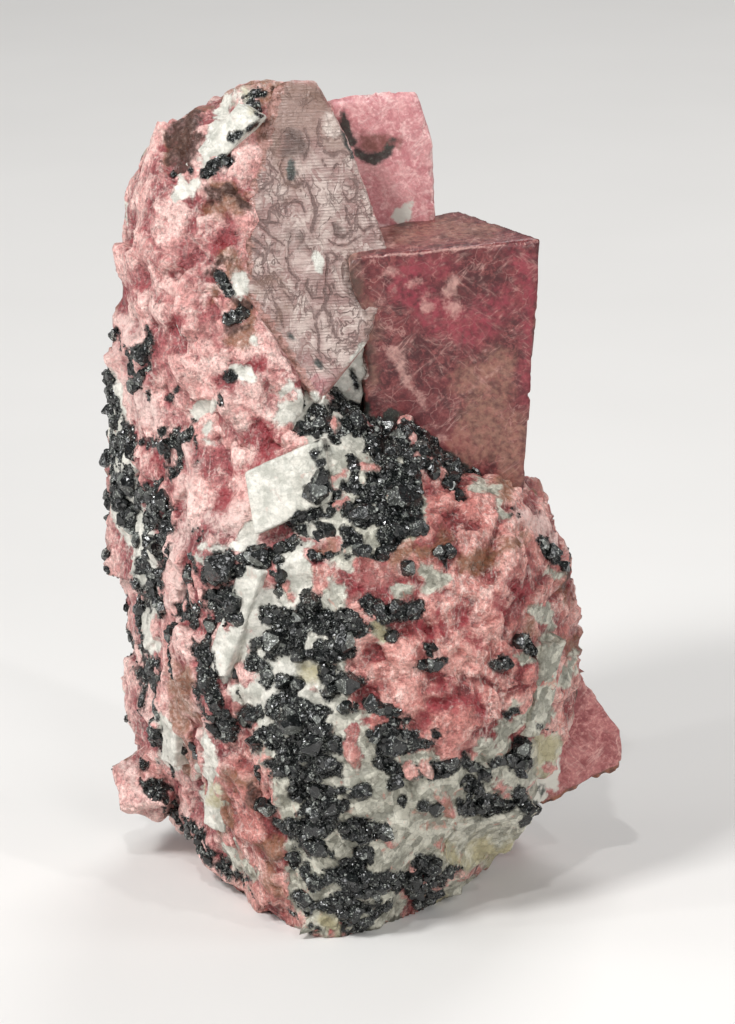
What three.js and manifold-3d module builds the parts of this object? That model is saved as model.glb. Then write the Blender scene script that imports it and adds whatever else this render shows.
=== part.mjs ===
// Rough rhodonite: one natural stone, grown together from blocky rhodonite crystals,
// massive rhodonite, white calcite plates and black franklinite crystals.
// Millimetres, +Z up. Its best side faces -Y, and it stands on its broken flat at Z = 0.
import * as THREE from "three";
import { ConvexGeometry } from "three/addons/geometries/ConvexGeometry.js";
import { mergeVertices } from "three/addons/utils/BufferGeometryUtils.js";
import Module from "manifold-3d";

// The colour, roughness and sheen of the stone as a whole.
const PINK = 0xc4727a;
const STONE_ROUGHNESS = 0.55;

// The rough masses: how crisp their broken planes meet, and how far they swell to make up for it.
const CRISPNESS = 26;
const SWELL = 1.03;
// The length of one facet of a rough mass.
const FACET = 3.15;

// The relief of broken stone: soft lumps, and ledges that stand out by tilted planes.
const LUMP_SPAN = 10;
const LUMP_HEIGHT = 0.9;
const LUMP_SALT = 3;
const LEDGE_SPAN = 7;
const LEDGE_HEIGHT = 1.4;
const LEDGE_SALT = 11;

// Black crystals are octahedra: how far their clipped tips lie, against their faces.
const TIP_CLIP = 1.3;
const TURN_SALT = 29;

// Calcite plates split into slanted blocks.
const PLATE_SLANT = 0.25;
const PLATE_THICKNESS = 3;

// Corners nearer to each other than this are one.
const WELD = 1e-4;
// Planes whose normals agree this closely are one, and three planes meet where they differ by more.
const SAME_WAY = 0.99999;
const TOUCH = 1e-6;

// Rough masses, each as the corners of its broken planes, seen from its own centre.
const ROUGH_MASSES = {
  upper_mass: {
    centre: [-11, 5, 62],
    corners: [
      // the round outline, from the crest down the left side
      [-7.5, 5, 87], [-12.5, 4, 86.5], [-18, 4, 84.5], [-22, 5, 79.5], [-25.5, 6, 74.5],
      [-26.5, 6, 69], [-27, 5, 66.5], [-25.5, 4, 62.5], [-26, 5, 58], [-26.5, 6, 44],
      // the front, up to the edge of the striated face
      [-20, -2, 81], [-22, -5, 72], [-18.5, -9, 62.5], [-12.5, -9.5, 64], [-11.5, -2.5, 81],
      [-9, 1, 86], [-13, -6.5, 73.5], [-3.5, 6, 84], [-3.5, 0, 73.5], [-13.5, -8, 48.5],
      [-22, -4, 46],
      // the back
      [-18, 17, 50], [-18, 16, 76], [-5, 18, 80], [2, 17, 60], [-8, 14, 84], [0, 15, 50],
    ],
  },
  waist: {
    centre: [-10, 3, 38],
    corners: [
      // the left outline
      [-26.5, 6, 57.5], [-27.5, 8, 53.5], [-27.5, 8, 45.5], [-27, 8, 39.5], [-26, 8, 36.5],
      [-25, 8, 33], [-24, 8, 23], [-23.5, 8, 17.5],
      // the front
      [-21, -4, 61], [-18.5, -8, 54], [-17, -12, 40], [-18, -11, 31], [-6.5, -12, 48.5],
      [-3.5, -10, 54.5], [6, -6, 30],
      // the back
      [-21, 18, 30], [-20, 15, 59], [3, 14, 59], [8, 19, 30],
    ],
  },
  left_foot: {
    centre: [-8, 3, 18],
    corners: [
      // the left outline
      [-24, 8, 28.5], [-24, 9, 17], [-24.5, 9, 12], [-25.5, 10, 8], [-24, 10, 5], [-18, 8, 0.5],
      // the front ridge
      [-17.5, -11, 37.5], [-17.5, -13, 25], [-14.5, -11, 13], [-10, -9, 3.5], [-6.5, -14, 36],
      [2, -16, 20], [6, -8, -2],
      // below the broken flat that it stands on
      [-4, -18, -2], [-12, -1, -2], [-16, 12, -2], [5, 17, -2],
      // the back
      [-20, 18, 8], [-20, 17, 30], [8, 18, 30],
    ],
  },
  front_boulder: {
    centre: [5, -3, 26],
    corners: [
      // the ridge in front of the block crystal, and on down the right outline
      [-6.5, -10, 54.5], [-3, -9, 56], [1, -8, 56], [9, -8, 50.5], [17, -6, 44], [20.5, -5, 40],
      [23, -2, 33], [24, 0, 28.5], [24, 0, 26], [22.5, 2, 20.5], [21, 2, 17], [21, 3, 11],
      [19.5, 4, 6], [15.5, 5, 1],
      // the bulging front
      [-1.5, -17, 47], [7, -16, 46.5], [14, -15, 41], [19, -12, 33.5], [19.5, -11, 24],
      [17.5, -9, 14.5], [11, -19, 25], [4, -20, 38.5], [-3.5, -21, 34.5], [-3.5, -22, 21.5],
      [6, -20, 16.5], [-14.5, -12, 40], [-13.5, -16, 28], [-10.5, -16, 15],
      // below the broken flat that it stands on
      [-4, -18, -2], [7.5, -7, -2], [12.5, 5, -2], [14, 12, -2], [-4, 14, -2],
      // the back
      [20, 14, 12], [22, 12, 30], [16, 14, 42], [-2, 12, 50],
    ],
  },
  back_mass: {
    centre: [-8, 9, 42],
    corners: [
      // the left and right edges
      [-23, 11, 68], [-25, 12, 47], [-22, 13, 20], [-17, 12, -2], [1, 12, 77], [7, 13, 52],
      [15, 12, 26], [12, 11, -2],
      // the bulging back
      [-14, 19, 64], [-6, 18.5, 77], [-3, 21, 50], [-13, 20, 28], [6, 19, 22], [-4, 17, -2],
      // the inside
      [-14, 3, 70], [-16, 2, 20], [6, 2, 24],
    ],
  },
  left_lump: {
    centre: [-22.5, 7, 9],
    corners: [
      [-27, 7, 10], [-26, 4, 7], [-25.5, 4, 12], [-21, 1, 8], [-22, 6, 4], [-22, 7, 14],
      [-16, 9, 9], [-22, 12, 10],
    ],
  },
};

// Crystals with flat faces. A face is [azimuth, elevation, distance from the centre]:
// azimuth 0 faces -Y and 90 faces +X, and elevation is above the horizon, in degrees.
const FLAT_CRYSTALS = {
  striated_crystal: {
    centre: [-4, 2, 68],
    faces: [
      [10, 20, 7.5], [100, 27, 8], [100, 17, 6], [95, -18, 5.5], [75, -36, 9],
      [-80, -34, 9.25], [-85, 5, 9.75], [-80, 24, 12.75], [180, 70, 18], [180, 0, 9], [0, -90, 24],
    ],
  },
  rear_crystal: {
    centre: [0, 11, 68],
    faces: [
      [-3, 3, 4.75], [96, 1, 7], [100, 16, 9.25], [-150, 66, 13.75], [180, 70, 14.5],
      [180, 0, 5], [-90, 0, 8], [0, -90, 20],
    ],
  },
  block_crystal: {
    centre: [9, 1, 58],
    faces: [
      [8, 0, 6], [122, -3, 4.75], [0, 89, 13.75], [-92, 0, 9.25], [-150, 0, 7], [180, 0, 9],
      [0, -90, 22],
    ],
  },
  corner_crystal: {
    centre: [19, 7, 19],
    faces: [
      [15, 6, 5], [115, 32, 3.5], [100, 0, 8], [150, -60, 7.5], [180, 0, 6], [-90, 0, 8],
      [-45, 60, 9],
    ],
  },
};

// Calcite plates: [middle], [width, height], and the [azimuth, elevation] that each one faces.
const CALCITE_PLATES = [
  [[-7, -11, 49], [9, 9.5], [-12, 14]],
  [[-2, -5, 57.5], [3, 7], [5, 10]],
  [[-6, -8.5, 55], [5, 4.5], [-15, 25]],
  [[-12.5, -13.5, 34], [3, 13], [-40, 5]],
  [[-6.5, -15.5, 40], [5.5, 4.5], [-20, 20]],
  [[12, -9, 9], [10, 7], [28, -30]],
  [[8, -7, 3], [6, 4], [30, -20]],
  [[-4, -16.5, 2.5], [4, 3.5], [0, 0]],
  [[18, -10, 25], [4, 14], [50, -5]],
  [[-14, -1.5, 82], [3.5, 8], [-35, 30]],
  [[-14.5, -9, 13.5], [4, 10], [-45, -10]],
  [[-19.5, -3, 17], [3.5, 6], [-60, -5]],
  [[-11, -10.5, 7.5], [5, 5], [-35, -25]],
  [[-20, 12, 52], [7, 9], [-140, 5]],
  [[6, 17, 36], [8, 11], [165, 5]],
];

// Black crystals: [middle], and the distance from there to a face.
const BLACK_CRYSTALS = [
  // round the white plate and under the blocky crystal
  [[3.5, -14.5, 47], 2.4],
  [[-4.5, -10.5, 52.5], 1.5],
  [[-1.5, -10, 53.5], 1.6],
  [[1.5, -10, 53], 1.6],
  [[4.5, -11.5, 50.5], 1.8],
  [[-3.5, -13.5, 48], 1.6],
  [[-0.5, -16.5, 45], 1.8],
  [[4.5, -16.5, 43], 1.8],
  [[8.5, -10.5, 48], 1.7],
  // down the front
  [[-8, -16.5, 35], 1.7],
  [[-6, -18.5, 33], 1.8],
  [[-7.5, -18.5, 27], 2],
  [[-10.5, -16, 33], 1.5],
  [[-1, -20, 29], 1.5],
  [[-6.5, -19, 21], 2.6],
  [[-11, -15, 20.5], 1.9],
  [[-4.5, -19.5, 16], 1.7],
  [[3.5, -19, 38], 1.3],
  [[4, -19.5, 23], 2.4],
  [[10, -14.5, 14.5], 1.9],
  [[17, -10.5, 18], 1.6],
  [[-2.5, -19, 11], 2.2],
  [[3, -15, 6], 1.7],
  // on the left side and the crest
  [[-14, -11, 39], 1.8],
  [[-10.5, -13, 40.5], 1.4],
  [[-15, -11.5, 34], 1.4],
  [[-24.5, 2, 49], 1.7],
  [[-24, 2, 42], 1.8],
  [[-22, -2, 36.5], 1.6],
  [[-12, -1, 82], 1.2],
  // on the right side and the back
  [[18.5, -7, 39], 1.3],
  [[22, 6, 32], 1.8],
  [[19, 11, 24], 2],
  [[-12, 18.5, 58], 2],
  [[-8, 18.5, 33], 2.2],
  [[2, 18.5, 50], 1.6],
  [[-4, 17, 14], 2],
];

const DEGREE = Math.PI / 180;

/** Every way to choose three numbers out of the given ones. */
function triples(numbers) {
  return numbers.flatMap((i) => numbers.flatMap((j) => numbers.map((k) => [i, j, k])));
}

const CUBE_CORNERS = triples([0, 1]);
const NEIGHBOURS = triples([-1, 0, 1]);
const OCTAHEDRON_FACES = triples([-1, 1]);

/** A repeatable number from 0 to 1 for a cell of space. */
function cellNumber(x, y, z, salt) {
  const wave = Math.sin(x * 127.1 + y * 311.7 + z * 74.7 + salt * 53.3) * 43758.5453;
  return wave - Math.floor(wave);
}

/** Soft lumps from -1 to 1: cell numbers at whole corners, blended smoothly between them. */
function lumps(point, salt) {
  const low = point.clone().floor();
  const part = point.clone().sub(low);
  const ease = (t) => t * t * (3 - 2 * t);
  let sum = 0;
  for (const [i, j, k] of CUBE_CORNERS) {
    const share =
      (i ? ease(part.x) : 1 - ease(part.x)) *
      (j ? ease(part.y) : 1 - ease(part.y)) *
      (k ? ease(part.z) : 1 - ease(part.z));
    sum += share * cellNumber(low.x + i, low.y + j, low.z + k, salt);
  }
  return 2 * sum - 1;
}

/** Ledges from -1 to 1: space is parted round scattered seeds, and each part is one tilted plane. */
function ledges(point, salt) {
  const low = point.clone().floor();
  let nearest = Infinity;
  let height = 0;
  for (const [i, j, k] of NEIGHBOURS) {
    const cell = [low.x + i, low.y + j, low.z + k];
    const number = (n) => cellNumber(...cell, salt + n);
    const away = point
      .clone()
      .sub(new THREE.Vector3(cell[0] + number(0), cell[1] + number(1), cell[2] + number(2)));
    if (away.lengthSq() >= nearest) continue;
    nearest = away.lengthSq();
    const tilt = new THREE.Vector3(number(3) - 0.5, number(4) - 0.5, number(5) - 0.5);
    height = 2 * tilt.dot(away) + number(6) - 0.5;
  }
  return THREE.MathUtils.clamp(height, -1, 1);
}

/** How far broken stone stands out of its planes at a point. */
function relief(point) {
  return (
    LUMP_HEIGHT * lumps(point.clone().divideScalar(LUMP_SPAN), LUMP_SALT) +
    LEDGE_HEIGHT * ledges(point.clone().divideScalar(LEDGE_SPAN), LEDGE_SALT)
  );
}

/** The planes of the smallest convex solid round the corners, seen from its centre. */
function planesRound(corners, centre) {
  const points = corners.map((corner) => new THREE.Vector3(...corner).sub(centre));
  const hull = new ConvexGeometry(points).getAttribute("position");
  const planes = [];
  for (let i = 0; i < hull.count; i += 3) {
    const [a, b, c] = [0, 1, 2].map((n) => new THREE.Vector3().fromBufferAttribute(hull, i + n));
    const normal = b.clone().sub(a).cross(c.clone().sub(a)).normalize();
    const plane = { normal, distance: normal.dot(a) };
    if (!planes.some((other) => other.normal.dot(normal) > SAME_WAY)) planes.push(plane);
  }
  return planes;
}

/** The same faces with shared corners, and nothing but their positions. */
function welded(geometry) {
  geometry.deleteAttribute("normal");
  geometry.deleteAttribute("uv");
  return mergeVertices(geometry, WELD);
}

/** A closed mesh as a solid that can be joined. */
function solidOf(geometry) {
  const skin = welded(geometry);
  return new wasm.Manifold(
    new wasm.Mesh({
      numProp: 3,
      vertProperties: skin.getAttribute("position").array,
      triVerts: new Uint32Array(skin.index.array),
    }),
  );
}

/**
 * A rough mass. Along each way out of the centre its surface lies at the planes' blended reach,
 * (sum of (normal . way / distance)^crispness)^(-1 / crispness), plus the relief.
 * Nothing lies lower than the floor.
 */
function roughMass({ centre, corners }) {
  const middle = new THREE.Vector3(...centre);
  const planes = planesRound(corners, middle);
  const size = new THREE.Box3()
    .setFromPoints(corners.map((corner) => new THREE.Vector3(...corner)))
    .getSize(new THREE.Vector3());
  const counts = size.toArray().map((length) => Math.round(length / FACET));
  const skin = welded(new THREE.BoxGeometry(...size.toArray(), ...counts));
  const position = skin.getAttribute("position");
  const point = new THREE.Vector3();
  for (let i = 0; i < position.count; i++) {
    const way = new THREE.Vector3().fromBufferAttribute(position, i).normalize();
    const blend = planes.reduce(
      (sum, { normal, distance }) => sum + Math.max(0, normal.dot(way) / distance) ** CRISPNESS,
      0,
    );
    const reach = SWELL * blend ** (-1 / CRISPNESS);
    point.copy(middle).addScaledVector(way, reach);
    point.addScaledVector(way, relief(point));
    if (point.z < 0) point.copy(middle).addScaledVector(way, -middle.z / way.z).setZ(0);
    position.setXYZ(i, point.x, point.y, point.z);
  }
  return solidOf(skin);
}

/** The way that a face looks, from its azimuth and elevation. */
function facing(azimuth, elevation) {
  const [a, e] = [azimuth * DEGREE, elevation * DEGREE];
  return new THREE.Vector3(Math.sin(a) * Math.cos(e), -Math.cos(a) * Math.cos(e), Math.sin(e));
}

/** The convex solid within planes: its corners are where three of them meet inside the others. */
function withinPlanes(planes) {
  const corners = [];
  planes.forEach((a, i) =>
    planes.slice(i + 1).forEach((b, j) =>
      planes.slice(i + j + 2).forEach((c) => {
        const axes = new THREE.Matrix3().set(...a.normal, ...b.normal, ...c.normal);
        if (Math.abs(axes.determinant()) < TOUCH) return;
        const corner = new THREE.Vector3(-a.constant, -b.constant, -c.constant).applyMatrix3(
          axes.invert(),
        );
        if (planes.every((plane) => plane.distanceToPoint(corner) < TOUCH)) corners.push(corner);
      }),
    ),
  );
  return new ConvexGeometry(corners);
}

/** A crystal with flat faces. */
function flatCrystal({ centre, faces }) {
  const planes = faces.map(
    ([azimuth, elevation, distance]) => new THREE.Plane(facing(azimuth, elevation), -distance),
  );
  return solidOf(withinPlanes(planes).translate(...centre));
}

/** An octahedron with clipped tips, each turned its own way. */
function blackCrystal([middle, reach], index) {
  const planes = [
    ...OCTAHEDRON_FACES.map(
      (way) => new THREE.Plane(new THREE.Vector3(...way).normalize(), -reach),
    ),
    ...NEIGHBOURS.filter((way) => Math.abs(way[0]) + Math.abs(way[1]) + Math.abs(way[2]) === 1).map(
      (way) => new THREE.Plane(new THREE.Vector3(...way), -TIP_CLIP * reach),
    ),
  ];
  const turn = (axis) => 2 * Math.PI * cellNumber(index, axis, 0, TURN_SALT);
  return solidOf(
    withinPlanes(planes)
      .rotateX(turn(0))
      .rotateY(turn(1))
      .rotateZ(turn(2))
      .translate(...middle),
  );
}

/** A slanted block of calcite whose broad side faces out. */
function calcitePlate([middle, [width, height], [azimuth, elevation]]) {
  const slant = new THREE.Matrix4().set(1, 0, PLATE_SLANT, 0, 0, 1, 0, 0, 0, 0, 1, 0, 0, 0, 0, 1);
  return solidOf(
    new THREE.BoxGeometry(width, PLATE_THICKNESS, height)
      .applyMatrix4(slant)
      .rotateX(-elevation * DEGREE)
      .rotateZ(azimuth * DEGREE)
      .translate(...middle),
  );
}

const wasm = await Module();
wasm.setup();

const pieces = [
  ...Object.values(ROUGH_MASSES).map(roughMass),
  ...Object.values(FLAT_CRYSTALS).map(flatCrystal),
  ...CALCITE_PLATES.map(calcitePlate),
  ...BLACK_CRYSTALS.map(blackCrystal),
];
const joined = pieces.reduce((whole, piece) => whole.add(piece));
// Gaps shut in between the masses are filled: only the outermost skin, with the most room in it, stays.
const [outermost] = joined.decompose().sort((a, b) => b.volume() - a.volume());
const skin = outermost.getMesh();

const geometry = new THREE.BufferGeometry();
geometry.setAttribute("position", new THREE.BufferAttribute(skin.vertProperties, 3));
geometry.setIndex(new THREE.BufferAttribute(skin.triVerts, 1));

const stone = new THREE.Mesh(
  geometry,
  new THREE.MeshStandardMaterial({ color: PINK, roughness: STONE_ROUGHNESS, metalness: 0 }),
);
stone.name = "rhodonite_specimen";

const specimen = new THREE.Group();
specimen.add(stone);
export default specimen;
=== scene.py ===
"""A rough rhodonite specimen, dressed.

One natural stone, grown together from rough masses of pink rhodonite, flat-faced rhodonite
crystals, white calcite and black franklinite. It stands on its broken flat at z = 0, and its
best side faces -y. Sizes are millimetres until a mesh is written, which is in metres.
"""
import logging
import math
from dataclasses import dataclass
from enum import Enum, auto
from itertools import product
from typing import Any, Iterable, Sequence

import bmesh
import bpy
import numpy as np
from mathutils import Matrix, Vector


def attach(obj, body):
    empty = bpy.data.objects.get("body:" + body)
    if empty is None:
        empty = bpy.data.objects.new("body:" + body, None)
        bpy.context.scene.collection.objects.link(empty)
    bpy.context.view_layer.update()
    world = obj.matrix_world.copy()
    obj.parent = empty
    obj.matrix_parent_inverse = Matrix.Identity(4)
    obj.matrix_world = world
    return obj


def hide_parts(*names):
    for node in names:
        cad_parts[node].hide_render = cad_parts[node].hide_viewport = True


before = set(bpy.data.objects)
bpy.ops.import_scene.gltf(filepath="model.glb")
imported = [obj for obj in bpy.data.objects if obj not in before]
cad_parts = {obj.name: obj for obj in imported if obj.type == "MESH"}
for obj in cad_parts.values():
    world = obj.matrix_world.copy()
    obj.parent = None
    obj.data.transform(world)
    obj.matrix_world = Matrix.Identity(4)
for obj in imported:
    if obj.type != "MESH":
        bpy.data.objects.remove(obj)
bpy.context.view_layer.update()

LOG = logging.getLogger("rhodonite")
NODE = "rhodonite_specimen"
METRES = 0.001

Triple = tuple[float, float, float]
Stroke = tuple[float, ...]
Colour = tuple[float, float, float, float]

# The photograph's view: what the camera looks at, from how far and how high, and its scale there.
TARGET = np.array([0.47, 0.0, 41.2])
DISTANCE = 620.0
ELEVATION = math.radians(18)
PIXEL = 0.105
PHOTO_WIDTH, PHOTO_HEIGHT = 735, 1024
SENSOR = 36.0
TOWARDS_CAMERA = np.array([0.0, -math.cos(ELEVATION), math.sin(ELEVATION)])
CAMERA_UP = np.array([0.0, math.sin(ELEVATION), math.cos(ELEVATION)])

# How crisp the planes of a rough mass and of a crystal meet, and how far a rough mass swells.
ROUGH_CRISPNESS = 26
CRYSTAL_CRISPNESS = 80
SWELL = 1.03
# Planes whose normals agree this closely are one.
SAME_WAY = 0.99999
# A painted patch is known as far from its edge as this, in millimetres.
EDGE_REACH = 1.2
# A length that is taken as none.
TINY = 1e-12
# The ways along the axes, both ways of each.
SIX_WAYS = np.concatenate([np.eye(3), -np.eye(3)])
# How sharply neighbouring broken planes pass into each other, for each squared cell: the
# stone's wide ones, and its fine ones.
BORDER = 14
FINE_BORDER = 30
# What turns a cell's place into its repeatable numbers.
CELL_WEIGHTS = np.array([127.1, 311.7, 74.7])
SALT_STEP = 53.3
CELL_SCALE = 43758.5453


class Facies(Enum):
    """What a patch of the surface is made of, and the name of its attribute on a mesh."""

    BLACK = "black"
    WHITE = "white"
    SAND = "sand"
    STAIN = "stain"
    UMBER = "umber"
    DEEP = "deep"
    PALE = "pale"
    ROSE = "rose"
    OUTLINE = "outline"


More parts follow.
